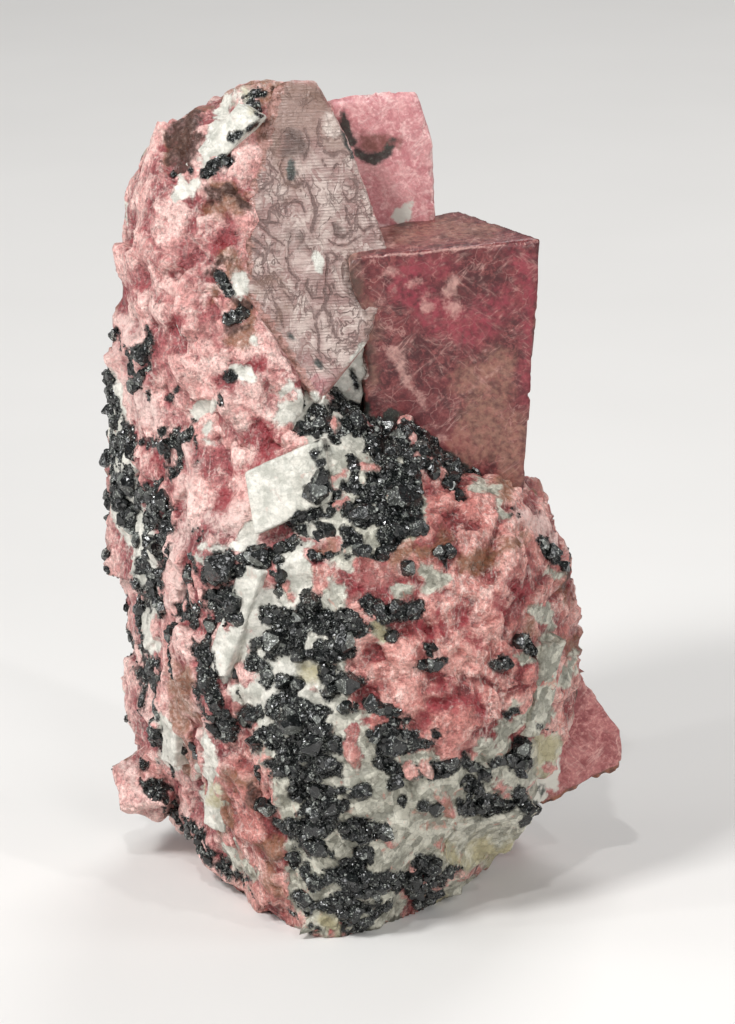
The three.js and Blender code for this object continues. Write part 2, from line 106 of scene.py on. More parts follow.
# Patches seen in the photograph, by facies. Each is a stroke in the photograph's pixels, read
# off it: x, y and half-width of one point after the other.
PATCHES: dict[Facies, tuple[Stroke, ...]] = {
    Facies.BLACK: (
        # The upper mass.
        (147, 326, 2, 147, 342, 5, 143, 352, 9, 139, 368, 11, 134, 384, 7),
        (113, 333, 5, 118, 345, 3, 128, 350, 4, 130, 356, 6),
        (112, 368, 3, 110, 385, 7, 111, 402, 9, 116, 420, 10, 122, 438, 13, 126, 460, 17, 130, 490, 20,
         138, 510, 21, 148, 530, 18, 155, 552, 17, 152, 582, 15), (150, 392, 4, 149, 400, 4),
        (182, 384, 3, 168, 400, 2), (227, 378, 5, 234, 376, 3), (219, 396, 3, 222, 402, 3),
        (195, 172, 4, 205, 174, 6, 212, 167, 7, 222, 160, 7, 234, 164, 4),
        (234, 138, 7, 244, 132, 5, 254, 125, 5), (245, 100, 3, 260, 94, 5, 272, 92, 3),
        (172, 173, 4, 174, 174, 3), (219, 277, 5, 228, 287, 6, 231, 293, 5),
        (229, 320, 5, 240, 316, 6, 246, 308, 5),
        # The striated crystal.
        (336, 392, 4, 342, 400, 5, 334, 410, 6), (256, 108, 5, 262, 112, 4), (291, 334, 4, 293, 338, 4),
        (317, 361, 5, 319, 366, 4), (291, 162, 4, 293, 178, 4), (343, 112, 4, 347, 126, 6, 351, 142, 7),
        # The block.
        (351, 373, 3, 356, 388, 3), (356, 152, 6, 372, 160, 6, 386, 156, 5, 392, 142, 4),
        # The left flank.
        (192, 424, 5, 184, 434, 8, 172, 446, 9, 172, 464, 10, 166, 486, 10, 161, 506, 12, 160, 530, 13),
        (163, 428, 3, 163, 430, 3), (140, 442, 5, 152, 442, 5), (195, 440, 1.5, 195, 460, 1.5),
        (197, 532, 4, 198, 540, 2),
        (192, 558, 5, 190, 575, 6, 193, 592, 8, 190, 608, 13, 202, 628, 8, 204, 650, 8, 208, 672, 9, 206,
         690, 10, 214, 708, 12, 226, 728, 15),
        # The black cluster in the middle.
        (282, 546, 6, 296, 543, 6), (318, 412, 9, 314, 428, 13, 328, 432, 8, 336, 436, 4),
        (302, 430, 6, 304, 436, 5), (350, 408, 7, 364, 410, 9, 356, 426, 10, 346, 426, 7),
        (376, 424, 9, 390, 430, 12, 404, 436, 9, 412, 450, 6),
        (372, 448, 8, 388, 456, 13, 402, 468, 16, 384, 480, 16, 368, 484, 10, 402, 492, 18, 414, 500, 10),
        (416, 464, 8, 430, 466, 7, 436, 472, 6), (388, 510, 13, 408, 514, 16, 400, 528, 12, 422, 530, 5),
        (344, 488, 7, 356, 490, 9), (348, 512, 7, 362, 514, 12, 374, 512, 6),
        (322, 462, 4, 325, 478, 8, 318, 492, 12, 326, 500, 9), (306, 487, 4, 336, 494, 5),
        (356, 464, 4, 355, 475, 4), (290, 524, 5, 300, 516, 8, 316, 516, 7, 332, 512, 4),
        (298, 530, 4, 312, 532, 7, 326, 532, 8), (313, 454, 2, 336, 442, 2),
        (294, 441, 1.5, 306, 437, 1.5), (344, 530, 6, 354, 540, 8, 350, 552, 7, 366, 552, 5),
        (384, 534, 8, 392, 542, 7, 380, 554, 6, 372, 558, 4), (312, 556, 5, 326, 556, 6, 336, 552, 3),
        (432, 449, 4, 446, 462, 9, 462, 468, 7, 450, 482, 7, 460, 494, 7),
        (440, 549, 7, 447, 556, 6, 446, 566, 3), (514, 512, 5, 519, 514, 4),
        (540, 540, 4, 548, 551, 7, 560, 562, 5, 562, 570, 3),
        (322, 416, 10, 352, 416, 12, 378, 432, 13, 398, 460, 16, 408, 492, 16, 394, 524, 12),
        (352, 462, 7, 366, 484, 10, 376, 506, 10, 384, 524, 8), (320, 482, 9, 326, 500, 9, 338, 506, 6),
        (392, 416, 8, 410, 430, 9, 428, 448, 8),
        # The left foot.
        (146, 600, 7, 142, 620, 7, 141, 645, 4, 146, 668, 5, 143, 690, 6, 141, 716, 3),
        (160, 588, 6, 163, 606, 6, 161, 616, 3), (156, 662, 4, 156, 682, 5),
        # The first stroke here is the black band, and from about (187, 824) on, along the foot's lower
        # edge, it is painted shade.
        (157, 732, 7, 154, 752, 10, 152, 775, 12, 156, 790, 9, 172, 792, 8, 170, 808, 7, 187, 824, 6, 200,
         842, 6, 220, 860, 6, 246, 880, 3), (172, 766, 4, 174, 774, 3),
        (214, 574, 12, 224, 566, 16, 236, 572, 9), (222, 600, 15, 232, 616, 9),
        (207, 615, 7, 204, 640, 7), (246, 560, 6, 258, 556, 12, 273, 560, 11),
        # The front boulder.
        (276, 572, 6, 281, 580, 5, 279, 593, 5),
        (268, 614, 11, 284, 620, 12, 300, 628, 10, 313, 615, 15, 330, 625, 13, 348, 622, 12, 362, 628, 8),
        (312, 598, 9, 314, 606, 9),
        (262, 648, 12, 284, 642, 14, 306, 648, 14, 330, 650, 15, 350, 652, 8),
        (256, 662, 12, 268, 682, 7), (328, 672, 10, 345, 682, 12, 356, 680, 8, 328, 692, 8),
        (284, 680, 10, 298, 682, 8, 290, 692, 8), (250, 715, 11, 256, 713, 9),
        (282, 708, 16, 302, 714, 16, 320, 712, 8),
        (265, 738, 12, 290, 738, 20, 318, 738, 16, 338, 746, 8),
        (272, 765, 10, 296, 764, 18, 318, 768, 16, 336, 772, 7),
        (300, 790, 12, 322, 792, 9, 340, 790, 6, 362, 792, 8), (312, 812, 13, 330, 810, 13, 345, 806, 6),
        (262, 806, 10, 272, 806, 8), (280, 826, 8, 296, 830, 10, 316, 830, 10, 332, 826, 6),
        (346, 830, 9, 366, 830, 12, 384, 830, 9), (302, 842, 6, 318, 848, 12, 312, 854, 9),
        (292, 856, 7, 295, 866, 5), (336, 854, 5, 350, 866, 12, 366, 852, 8, 372, 862, 4),
        (306, 870, 7, 316, 880, 8, 336, 874, 9, 356, 884, 14, 376, 888, 10, 396, 880, 12),
        (300, 892, 8, 308, 906, 9, 296, 908, 6),
        (322, 906, 8, 342, 904, 12, 358, 918, 12, 376, 910, 9, 390, 904, 6), (346, 924, 7, 360, 926, 6),
        (310, 928, 3, 318, 932, 2), (406, 568, 6, 410, 572, 4),
        (372, 602, 9, 382, 612, 10, 398, 610, 10, 416, 610, 9), (388, 628, 3, 392, 638, 4),
        (428, 644, 4, 431, 654, 3), (414, 668, 3, 428, 666, 6, 442, 661, 4), (521, 642, 6, 532, 650, 5),
        (491, 661, 3, 506, 664, 7), (516, 709, 4, 507, 714, 4), (542, 727, 4, 549, 730, 3),
        (372, 735, 7, 392, 728, 9, 404, 718, 7, 388, 742, 9, 412, 738, 9, 436, 734, 7),
        (380, 750, 5, 404, 750, 5, 434, 744, 4), (345, 707, 6, 353, 706, 5),
        (366, 702, 5, 376, 707, 6, 396, 712, 6),
        (380, 762, 6, 396, 770, 8, 416, 770, 7, 440, 768, 9, 452, 764, 7), (392, 784, 7, 396, 782, 5),
        (464, 760, 6, 478, 766, 6, 488, 778, 4),
        (492, 762, 5, 510, 758, 8, 523, 746, 9, 518, 768, 7, 526, 762, 6),
        (466, 782, 8, 476, 790, 8, 466, 808, 8, 482, 806, 10, 504, 804, 7),
        (516, 790, 5, 524, 800, 7, 534, 810, 7, 526, 822, 4), (538, 786, 3, 543, 792, 3),
        (424, 804, 7, 434, 810, 7), (400, 802, 4, 404, 806, 2),
        (418, 858, 5, 430, 864, 8, 424, 878, 11, 440, 876, 7, 456, 868, 4),
        (408, 880, 8, 420, 898, 10, 436, 892, 6, 426, 908, 4),
    ),
    Facies.WHITE: (
        # The upper mass.
        (230, 104, 8, 222, 118, 10, 215, 134, 10, 209, 150, 8, 203, 164, 5),
        (248, 96, 5, 252, 108, 4, 258, 114, 3), (183, 178, 5, 184, 190, 7, 176, 197, 4),
        (196, 184, 5, 200, 190, 3), (240, 276, 5, 240, 290, 6), (236, 374, 4, 244, 375, 6, 250, 378, 5),
        (112, 372, 8, 116, 440, 12, 130, 510, 16, 150, 580, 12),
        # The striated crystal.
        (254, 338, 3, 256, 346, 3), (282, 392, 5, 290, 386, 4), (315, 256, 4, 317, 268, 4),
        # The block.
        (362, 345, 3, 358, 358, 6, 352, 376, 8, 346, 392, 8), (398, 212, 5, 406, 214, 6),
        (404, 206, 4, 412, 200, 2),
        # The left flank.
        (204, 546, 4, 218, 548, 2, 228, 549, 2), (201, 556, 3, 201, 564, 2),
        (210, 404, 8, 202, 412, 8, 196, 415, 5), (209, 425, 3, 207, 442, 3),
        # The black cluster in the middle.
        (262, 480, 9, 282, 488, 20, 300, 462, 16, 318, 454, 9, 338, 462, 12, 350, 450, 9),
        (286, 506, 15, 272, 508, 11),
        (288, 414, 10, 302, 404, 10, 300, 424, 9, 314, 398, 7, 332, 420, 6),
        (364, 526, 8, 374, 532, 9, 374, 546, 7), (404, 535, 4, 413, 533, 5),
        (256, 520, 8, 250, 535, 8, 240, 545, 7), (504, 516, 5, 496, 492, 6, 478, 488, 7),
        (290, 556, 14, 300, 590, 24, 330, 600, 18), (330, 440, 26, 370, 470, 40, 390, 508, 36),
        (340, 520, 26, 304, 525, 14), (332, 556, 12, 370, 545, 18),
        # The left foot.
        (245, 577, 5, 250, 592, 7, 250, 608, 9, 242, 624, 10, 236, 644, 13, 230, 664, 10, 222, 680, 5),
        (236, 690, 10, 242, 702, 6), (168, 724, 8, 170, 744, 11, 175, 762, 8),
        (204, 738, 5, 208, 758, 8, 206, 785, 6, 205, 796, 5), (230, 848, 7, 242, 862, 8, 258, 878, 5),
        (150, 600, 9, 148, 650, 7),
        # The front boulder.
        (292, 560, 9, 302, 545, 7, 312, 542, 5), (346, 560, 8, 356, 562, 5),
        (428, 572, 9, 440, 580, 11, 424, 590, 7), (396, 590, 8, 410, 588, 7), (374, 624, 6, 382, 636, 7),
        (340, 720, 7, 358, 714, 6, 372, 713, 3),
        (400, 820, 9, 418, 828, 14, 440, 836, 14, 466, 830, 13, 492, 828, 11, 512, 826, 7, 530, 830, 5),
        (418, 850, 8, 452, 852, 9, 474, 852, 13, 494, 856, 12, 484, 866, 6),
        (430, 906, 5, 442, 896, 8, 456, 885, 8, 472, 880, 5),
        (306, 916, 5, 320, 920, 8, 332, 926, 8, 342, 918, 4), (300, 928, 3, 312, 930, 4, 326, 934, 5),
        (532, 608, 6, 545, 616, 8, 550, 626, 4), (546, 640, 6, 542, 652, 7, 526, 660, 8, 516, 656, 5),
        (580, 652, 3, 572, 664, 5, 562, 680, 5),
        (512, 700, 4, 504, 732, 7, 518, 726, 7, 534, 714, 8, 550, 716, 5),
        (552, 732, 6, 550, 750, 12, 550, 768, 9, 552, 784, 6), (482, 748, 7, 496, 752, 7, 510, 744, 5),
        (552, 572, 4, 560, 576, 3), (566, 806, 4, 562, 812, 3),
        (266, 600, 16, 300, 640, 48, 300, 700, 50), (310, 740, 52, 345, 790, 68, 350, 840, 66),
        (330, 880, 44, 370, 900, 34), (420, 790, 30, 480, 800, 34, 520, 800, 26),
        (440, 840, 30, 488, 836, 28), (395, 765, 16, 450, 778, 16, 500, 770, 20, 540, 762, 22),
    ),
    Facies.SAND: (
        # The upper mass.
        (248, 96, 5, 252, 106, 4),
        # The black cluster in the middle.
        (404, 535, 4, 413, 533, 5),
        # The left foot.
        (213, 790, 7, 215, 800, 6),
        # The front boulder.
        (486, 850, 14, 498, 862, 9, 512, 846, 8), (446, 852, 6, 460, 862, 6),
        (548, 748, 12, 552, 770, 8), (304, 670, 8, 316, 670, 9), (432, 898, 6, 442, 900, 6),
        (326, 922, 7, 334, 926, 7), (374, 624, 6, 382, 636, 7),
    ),
    Facies.STAIN: (
        # The upper mass.
        (168, 136, 4, 184, 114, 4, 206, 99, 4, 232, 90, 4, 262, 82, 5, 290, 80, 5),
        (214, 186, 6, 228, 190, 8, 240, 202, 7, 218, 206, 9, 206, 208, 6),
        (222, 256, 6, 232, 262, 7, 228, 276, 7, 216, 290, 5, 212, 302, 5),
        (230, 304, 5, 246, 302, 8, 250, 318, 6, 246, 334, 8, 234, 338, 5),
        (178, 150, 8, 186, 130, 9, 190, 112, 6), (167, 172, 3, 167, 146, 3, 178, 122, 4, 196, 104, 4),
        # The striated crystal.
        (268, 96, 8, 300, 88, 8, 318, 100, 8), (264, 130, 9, 276, 150, 8, 292, 190, 6),
        (287, 235, 4, 303, 240, 4), (252, 300, 2, 262, 280, 3, 280, 278, 3, 290, 300, 2, 278, 322, 2),
        (330, 128, 6, 334, 144, 7),
        # The block.
        (362, 330, 4, 366, 352, 4, 366, 378, 4),
        (500, 360, 14, 490, 400, 20, 470, 440, 22, 500, 440, 18, 515, 470, 10),
        (352, 262, 6, 360, 290, 6, 372, 330, 6, 368, 380, 5), (368, 147, 8, 380, 148, 9, 390, 143, 5),
        (395, 236, 10, 440, 226, 10, 490, 232, 8), (470, 380, 14, 490, 372, 12),
        # The black cluster in the middle.
        (318, 548, 4, 330, 548, 5), (444, 536, 6, 428, 552, 7, 404, 554, 8, 396, 562, 5),
        (512, 420, 14, 516, 460, 14, 504, 486, 10),
        # The left foot.
        (176, 664, 5, 188, 668, 6, 184, 690, 9, 186, 716, 9, 190, 744, 5, 194, 770, 4),
        (226, 774, 6, 240, 782, 9, 254, 786, 8, 250, 800, 6), (218, 806, 12, 224, 822, 12),
        # The front boulder.
        (262, 846, 6, 276, 850, 6, 268, 876, 6, 282, 888, 4), (262, 584, 5, 264, 600, 5),
        (570, 640, 6, 584, 642, 7, 574, 656, 5), (566, 576, 4, 566, 600, 4),
        (470, 566, 8, 486, 556, 9, 502, 548, 10, 518, 544, 7), (528, 622, 5, 528, 634, 4),
        (408, 758, 5, 432, 756, 5, 446, 790, 5, 446, 812, 7, 444, 846, 6), (398, 842, 5, 406, 850, 4),
        (538, 800, 5, 552, 798, 4),
    ),
    Facies.UMBER: (
        # The upper mass.
        (174, 142, 8, 184, 128, 10, 198, 112, 7), (174, 158, 6, 186, 148, 10, 194, 138, 8),
        (180, 172, 5, 190, 162, 6), (228, 186, 5, 240, 196, 6, 247, 206, 5), (206, 190, 3, 216, 196, 4),
        (213, 275, 3, 218, 262, 4, 232, 262, 3), (238, 300, 6, 248, 306, 5), (232, 330, 5, 246, 326, 4),
        # The striated crystal.
        (292, 136, 6, 300, 150, 6, 288, 150, 6), (288, 232, 4, 290, 240, 3), (302, 236, 5, 303, 243, 4),
        (337, 225, 3, 345, 231, 3),
        # The block.
        (366, 140, 5, 386, 138, 6), (368, 146, 7, 381, 146, 8, 391, 143, 5),
        (351, 262, 3, 352, 280, 3, 358, 298, 3, 365, 314, 4), (367, 330, 3, 366, 352, 3, 365, 380, 3),
        (456, 290, 6, 460, 296, 5),
        # The left foot.
        (248, 782, 5, 252, 796, 6),
        # The front boulder.
        (318, 694, 4, 312, 702, 4), (400, 596, 4, 414, 594, 4), (572, 566, 4, 568, 586, 4),
        (546, 798, 4, 538, 794, 3),
    ),
    Facies.DEEP: (
        # The upper mass.
        (110, 255, 5, 112, 262, 5), (128, 290, 8, 134, 296, 6), (172, 328, 4, 180, 320, 4),
        (212, 250, 4, 222, 244, 4, 230, 236, 3), (248, 366, 7, 262, 364, 7),
        # The striated crystal.
        (312, 378, 6, 324, 386, 6),
        # The block.
        (515, 258, 9, 530, 262, 8, 536, 290, 4), (428, 268, 6, 446, 268, 7),
        (400, 285, 14, 430, 310, 18, 470, 330, 18, 505, 300, 12),
        (522, 262, 9, 529, 300, 8, 530, 350, 7, 528, 400, 6), (396, 276, 8, 420, 268, 8, 440, 266, 6),
        # The left flank.
        (221, 496, 5, 222, 508, 4, 226, 492, 6), (229, 468, 4, 238, 472, 4), (152, 462, 5, 150, 486, 4),
        # The black cluster in the middle.
        (250, 440, 5, 262, 424, 9, 274, 436, 10, 262, 456, 8, 252, 468, 6), (452, 544, 6, 454, 552, 5),
        (444, 445, 8, 462, 442, 10),
        # The front boulder.
        (358, 590, 5, 364, 578, 5, 362, 568, 4), (384, 586, 3, 402, 582, 4, 418, 580, 4),
        (424, 628, 3, 430, 636, 4), (440, 612, 4, 442, 630, 4), (456, 614, 6, 464, 620, 5),
        (496, 600, 4, 502, 608, 5), (470, 640, 6, 478, 648, 4), (436, 690, 7, 450, 684, 8),
        (436, 706, 8, 452, 704, 7, 466, 702, 4), (478, 696, 4, 484, 706, 6, 484, 716, 4),
        (424, 716, 4, 428, 722, 4), (524, 588, 6, 510, 586, 5),
    ),
    Facies.PALE: (
        # The upper mass.
        (118, 352, 6, 128, 380, 5), (132, 335, 7, 128, 322, 6),
        # The striated crystal: a painted highlight near its upper right.
        (326, 118, 5, 332, 130, 5),
        # The block.
        (458, 262, 1.5, 453, 280, 1.6, 449, 294, 1.2), (395, 352, 2.5, 399, 362, 3.5, 402, 370, 2),
        (423, 298, 2, 426, 306, 2.5), (386, 230, 5, 390, 244, 5),
        (404, 378, 1.2, 416, 396, 1.8, 428, 414, 1.2), (452, 306, 2.5, 456, 312, 2),
        (500, 368, 1.5, 484, 380, 1.2, 470, 392, 1.2), (372, 280, 1, 388, 272, 1.2, 404, 274, 1),
        (380, 300, 1, 398, 290, 1.2, 416, 280, 1),
        # The left flank.
        (170, 552, 8, 174, 570, 9, 178, 586, 7, 170, 600, 6),
        (186, 476, 7, 192, 500, 10, 184, 526, 9, 176, 545, 7), (188, 450, 4, 188, 470, 5),
        (216, 524, 12, 236, 524, 12, 246, 510, 8), (140, 400, 12, 146, 412, 10, 130, 402, 6),
        # The black cluster in the middle.
        (530, 525, 8, 548, 540, 6, 566, 548, 5), (524, 512, 7, 540, 526, 8, 556, 540, 6),
        (440, 436, 2, 432, 444, 1.5),
        # The left foot.
        (130, 772, 9, 135, 785, 8),
        # The front boulder.
        (576, 610, 8, 580, 625, 6),
    ),
    Facies.ROSE: (
        # The upper mass.
        (235, 110, 5, 236, 118, 4),
        # The black cluster in the middle.
        (335, 424, 3, 337, 430, 3), (366, 466, 5, 372, 470, 5), (334, 478, 4, 342, 476, 4),
        (337, 505, 4, 343, 503, 3), (322, 546, 5, 335, 546, 6), (266, 526, 8, 275, 515, 5),
        # The front boulder.
        (320, 570, 9, 318, 586, 9), (288, 584, 5, 292, 598, 4), (350, 602, 5, 358, 594, 5),
        (366, 572, 14, 384, 574, 14), (313, 686, 4, 318, 691, 3),
        (352, 731, 9, 350, 748, 8, 357, 764, 6), (265, 757, 4, 268, 770, 5), (424, 766, 6, 430, 770, 5),
        (408, 766, 5, 412, 772, 4), (438, 752, 6, 454, 746, 9, 468, 740, 7), (444, 796, 5, 450, 812, 6),
        (444, 848, 4, 438, 846, 3), (388, 838, 4, 392, 840, 3), (498, 788, 4, 507, 792, 4),
        (519, 812, 4, 521, 820, 3), (524, 794, 3, 528, 798, 3), (547, 766, 3, 552, 766, 3),
        (500, 812, 2, 486, 818, 2),
    ),
    Facies.OUTLINE: (
        # The upper mass.
        (238, 236, 1.1, 250, 246, 1.2, 263, 255, 1.3, 272, 250, 1.1),
        (240, 228, 1.1, 256, 240, 1.2, 268, 252, 1.2, 280, 252, 1.1),
        (244, 222, 1.1, 258, 222, 1.2, 266, 230, 1.1),
        # The striated crystal.
        (284, 158, 1.2, 282, 172, 1.3, 286, 184, 1.5, 295, 188, 1.6, 302, 184, 1.3),
        (263, 140, 1.1, 266, 131, 1.1, 273, 130, 1.1, 279, 139, 1.1),
        (318, 122, 1.2, 318, 144, 1.4, 326, 154, 1.4, 337, 155, 1.6, 346, 148, 1.4),
        (304, 128, 1.3, 308, 140, 1.3, 306, 152, 1.2, 302, 158, 1.2),
        (320, 158, 1.1, 328, 168, 1.2, 333, 169, 1.2, 339, 162, 1.1),
        (254, 172, 1.1, 256, 184, 1.1, 255, 196, 1.2, 263, 190, 1.2, 271, 180, 1.1),
        (268, 150, 1.2, 276, 154, 1.4, 270, 164, 1.2, 278, 172, 1.2),
        (288, 214, 1.2, 287, 205, 1.2, 293, 200, 1.2, 301, 203, 1.2, 304, 212, 1.1),
        (306, 186, 1.3, 312, 196, 1.6, 316, 207, 2, 315, 220, 1.8, 312, 232, 1.5),
        (268, 222, 1.2, 270, 208, 1.2, 276, 204, 1.1, 280, 216, 1.1),
        (266, 222, 1.1, 268, 234, 1.2, 275, 240, 1.2, 284, 246, 1.2),
        (252, 214, 1.1, 262, 220, 1.1, 276, 222, 1.1), (344, 205, 1.1, 347, 216, 1.2, 352, 226, 1.1),
        (332, 222, 1.2, 336, 234, 1.2, 346, 238, 1.2, 354, 232, 1.1),
        (330, 240, 1.1, 340, 246, 1.2, 350, 246, 1.1, 358, 240, 1.1),
        (324, 254, 1.2, 331, 254, 1.2, 337, 260, 1.4, 333, 264, 1.2),
        (284, 258, 1.1, 292, 270, 1.1, 299, 280, 1.1, 298, 291, 1.1),
        (326, 258, 2, 328, 267, 1.8, 327, 280, 1.5, 325, 290, 1.6, 328, 298, 2),
        (328, 298, 2, 324, 306, 2, 319, 314, 1.6, 317, 324, 1.5, 320, 338, 1.5),
        (320, 338, 1.5, 321, 350, 1.3, 322, 358, 1.1),
        (325, 306, 1.4, 330, 316, 1.4, 332, 328, 1.2, 337, 338, 1.1),
        (327, 296, 1.3, 333, 293, 1.2, 331, 286, 1.1, 336, 285, 1.1, 337, 292, 1.1),
        (308, 278, 1.1, 308, 290, 1.1, 313, 297, 1.2, 323, 296, 1.2),
        (252, 278, 1.3, 262, 285, 1.4, 266, 278, 1.4, 275, 279, 1.2),
        (268, 285, 1.2, 274, 298, 1.2, 282, 312, 1.5, 284, 326, 1.3),
        (280, 280, 1.1, 284, 292, 1.1, 291, 299, 1.1),
        (262, 304, 1.1, 274, 310, 1.2, 281, 314, 1.2, 272, 326, 1.1, 266, 334, 1.1),
        (262, 340, 1.1, 268, 352, 1.1, 280, 366, 1.1),
        # The block.
        (352, 180, 1.1, 358, 188, 1.2, 356, 197, 1.2, 348, 202, 1.1, 343, 192, 1.1),
        (360, 206, 1.1, 356, 220, 1.1, 364, 232, 1.2, 372, 226, 1.1),
    ),
}


def srgb(red: float, green: float, blue: float) -> Colour:
    """A colour given in display values of 0 to 255, as the linear colour a shader takes.

    Args:
        red: Display value of red.
        green: Display value of green.
        blue: Display value of blue.

    Returns:
        The linear colour, opaque.
    """

    def linear(value: float) -> float:
        """Display value to light, by the sRGB curve."""
        part = value / 255
        return part / 12.92 if part <= 0.04045 else ((part + 0.055) / 1.055) ** 2.4

    return (linear(red), linear(green), linear(blue), 1.0)


def smooth(values: np.ndarray, low: float, high: float) -> np.ndarray:
    """A soft step from 0 at low to 1 at high: t * t * (3 - 2 * t), with t cut to 0 to 1."""
    part = np.clip((values - low) / (high - low), 0, 1)
    return part * part * (3 - 2 * part)


def cell_numbers(cells: np.ndarray, salt: float, count: int) -> np.ndarray:
    """Repeatable numbers from 0 to 1 for each cell of space.

    Each is the fraction of 43758.5453 times the sine of a weighted sum of the cell's place and
    the salt, which goes up by one from number to number.

    Args:
        cells: The cells' low corners, whole numbers, one row each.
        salt: Sets one kind of number apart from another.
        count: How many numbers each cell gets.

    Returns:
        One row of numbers for each cell.
    """
    salts = (salt + np.arange(count)) * SALT_STEP
    wave = np.sin((cells @ CELL_WEIGHTS)[:, None] + salts) * CELL_SCALE
    return wave - np.floor(wave)


def lumps(points: np.ndarray, salt: float) -> np.ndarray:
    """Soft lumps from -1 to 1: cell numbers at whole corners, blended smoothly between them.

    Args:
        points: Places, in cells.
        salt: Which lumps.

    Returns:
        The height at each place.
    """
    low = np.floor(points)
    part = points - low
    ease = part * part * (3 - 2 * part)
    total = np.zeros(len(points))
    for corner in product((0, 1), repeat=3):
        share = np.prod(np.where(np.array(corner), ease, 1 - ease), axis=1)
        total += share * cell_numbers(low + corner, salt, 1)[:, 0]
    return 2 * total - 1


def facets(
    points: np.ndarray, salt: float, border: float = FINE_BORDER
) -> tuple[np.ndarray, np.ndarray]:
    """Broken planes, one to a scattered seed, that pass into each other over a narrow border.

    Every cell of space holds one seed, at its own cell numbers, with a tilted plane:
    2 * tilt . (point - seed) + number - 0.5, cut to -1 to 1. The planes round a point are
    averaged, each with the weight exp(-border * squared distance to its seed).

    Args:
        points: Places, in cells.
        salt: Which planes.
        border: How sharply they meet.

    Returns:
        The height from -1 to 1 at each place, and its plane's own number from 0 to 1.
    """
    low = np.floor(points)
    weights, heights, tones = np.zeros((3, len(points)))
    for step in product((-1, 0, 1), repeat=3):
        cell = low + step
        numbers = cell_numbers(cell, salt, 7)
        gap = points - cell - numbers[:, :3]
        weight = np.exp(-border * (gap * gap).sum(axis=1))
        plane = 2 * ((numbers[:, 3:6] - 0.5) * gap).sum(axis=1) + numbers[:, 6] - 0.5
        weights += weight
        heights += weight * np.clip(plane, -1, 1)
        tones += weight * numbers[:, 6]
    return heights / weights, tones / weights


@dataclass(frozen=True)
class Layer:
    """One layer of relief: its height and its span in millimetres, and its salt."""

    height: float
    span: float
    salt: float

    def lumps(self, points: np.ndarray) -> np.ndarray:
        """Its height times soft lumps of its span."""
        return self.height * lumps(points / self.span, self.salt)

    def planes(self, points: np.ndarray, border: float = FINE_BORDER) -> np.ndarray:
        """Its height times broken planes of its span."""
        return self.height * facets(points / self.span, self.salt, border)[0]


WIDE_LUMPS, WIDE_PLANES = Layer(0.9, 10, 3), Layer(1.4, 7, 11)


def stone_relief(points: np.ndarray) -> np.ndarray:
    """How far broken stone stands out of its planes: wide lumps + wide planes."""
    return WIDE_LUMPS.lumps(points) + WIDE_PLANES.planes(points, BORDER)


def facing(azimuth: float, elevation: float) -> np.ndarray:
    """The way that a face looks.

    Args:
        azimuth: Degrees round from -y, towards +x.
        elevation: Degrees above the horizon.

    Returns:
        A unit vector.
    """
    a, e = math.radians(azimuth), math.radians(elevation)
    return np.array([math.sin(a) * math.cos(e), -math.cos(a) * math.cos(e), math.sin(e)])


@dataclass(frozen=True)
class Planes:
    """A convex solid: the planes round it, seen from its centre."""

    centre: np.ndarray
    normals: np.ndarray
    distances: np.ndarray
    crispness: int

    @staticmethod
    def round(centre: Triple, corners: Sequence[Triple], crispness: int) -> "Planes":
        """The planes of the smallest convex solid round some corners."""
        ball = bmesh.new()
        for corner in corners:
            ball.verts.new(np.subtract(corner, centre))
        hull = bmesh.ops.convex_hull(ball, input=ball.verts)["geom"]
        normals: list[np.ndarray] = []
        distances: list[float] = []
        for face in (part for part in hull if isinstance(part, bmesh.types.BMFace)):
            face.normal_update()
            normal = np.array(face.normal)
            distance = float(normal @ np.array(face.verts[0].co))
            if distance < 0:
                normal, distance = -normal, -distance
            if not any(other @ normal > SAME_WAY for other in normals):
                normals.append(normal)
                distances.append(distance)
        ball.free()
        return Planes(np.array(centre), np.array(normals), np.array(distances), crispness)

    @staticmethod
    def of_faces(centre: Triple, faces: Sequence[Triple], crispness: int) -> "Planes":
        """Planes given one by one, each as [azimuth, elevation, distance]."""
        normals = np.array([facing(azimuth, elevation) for azimuth, elevation, _ in faces])
        return Planes(np.array(centre), normals, np.array([face[2] for face in faces]), crispness)

    def shares(self, ways: np.ndarray) -> np.ndarray:
        """How far out each plane lets each way go: the greatest share belongs to the plane it meets."""
        return np.maximum(0, ways @ self.normals.T / self.distances)

    def reach(self, ways: np.ndarray) -> np.ndarray:
        """Distance to the surface: (sum of each share to the crispness) to the -1 / crispness."""
        return (self.shares(ways) ** self.crispness).sum(axis=1) ** (-1 / self.crispness)

    def surface(self, ways: np.ndarray, swell: float = 1.0) -> np.ndarray:
        """Where each way out of the centre meets the surface of the solid, swollen by a factor."""
        return self.centre + ways * (swell * self.reach(ways))[:, None]

    def holds(self, points: np.ndarray, swell: float) -> np.ndarray:
        """Whether each point lies inside the solid, swollen by a factor."""
        inside = self.shares(points - self.centre) ** self.crispness
        return inside.sum(axis=1) ** (1 / self.crispness) < swell


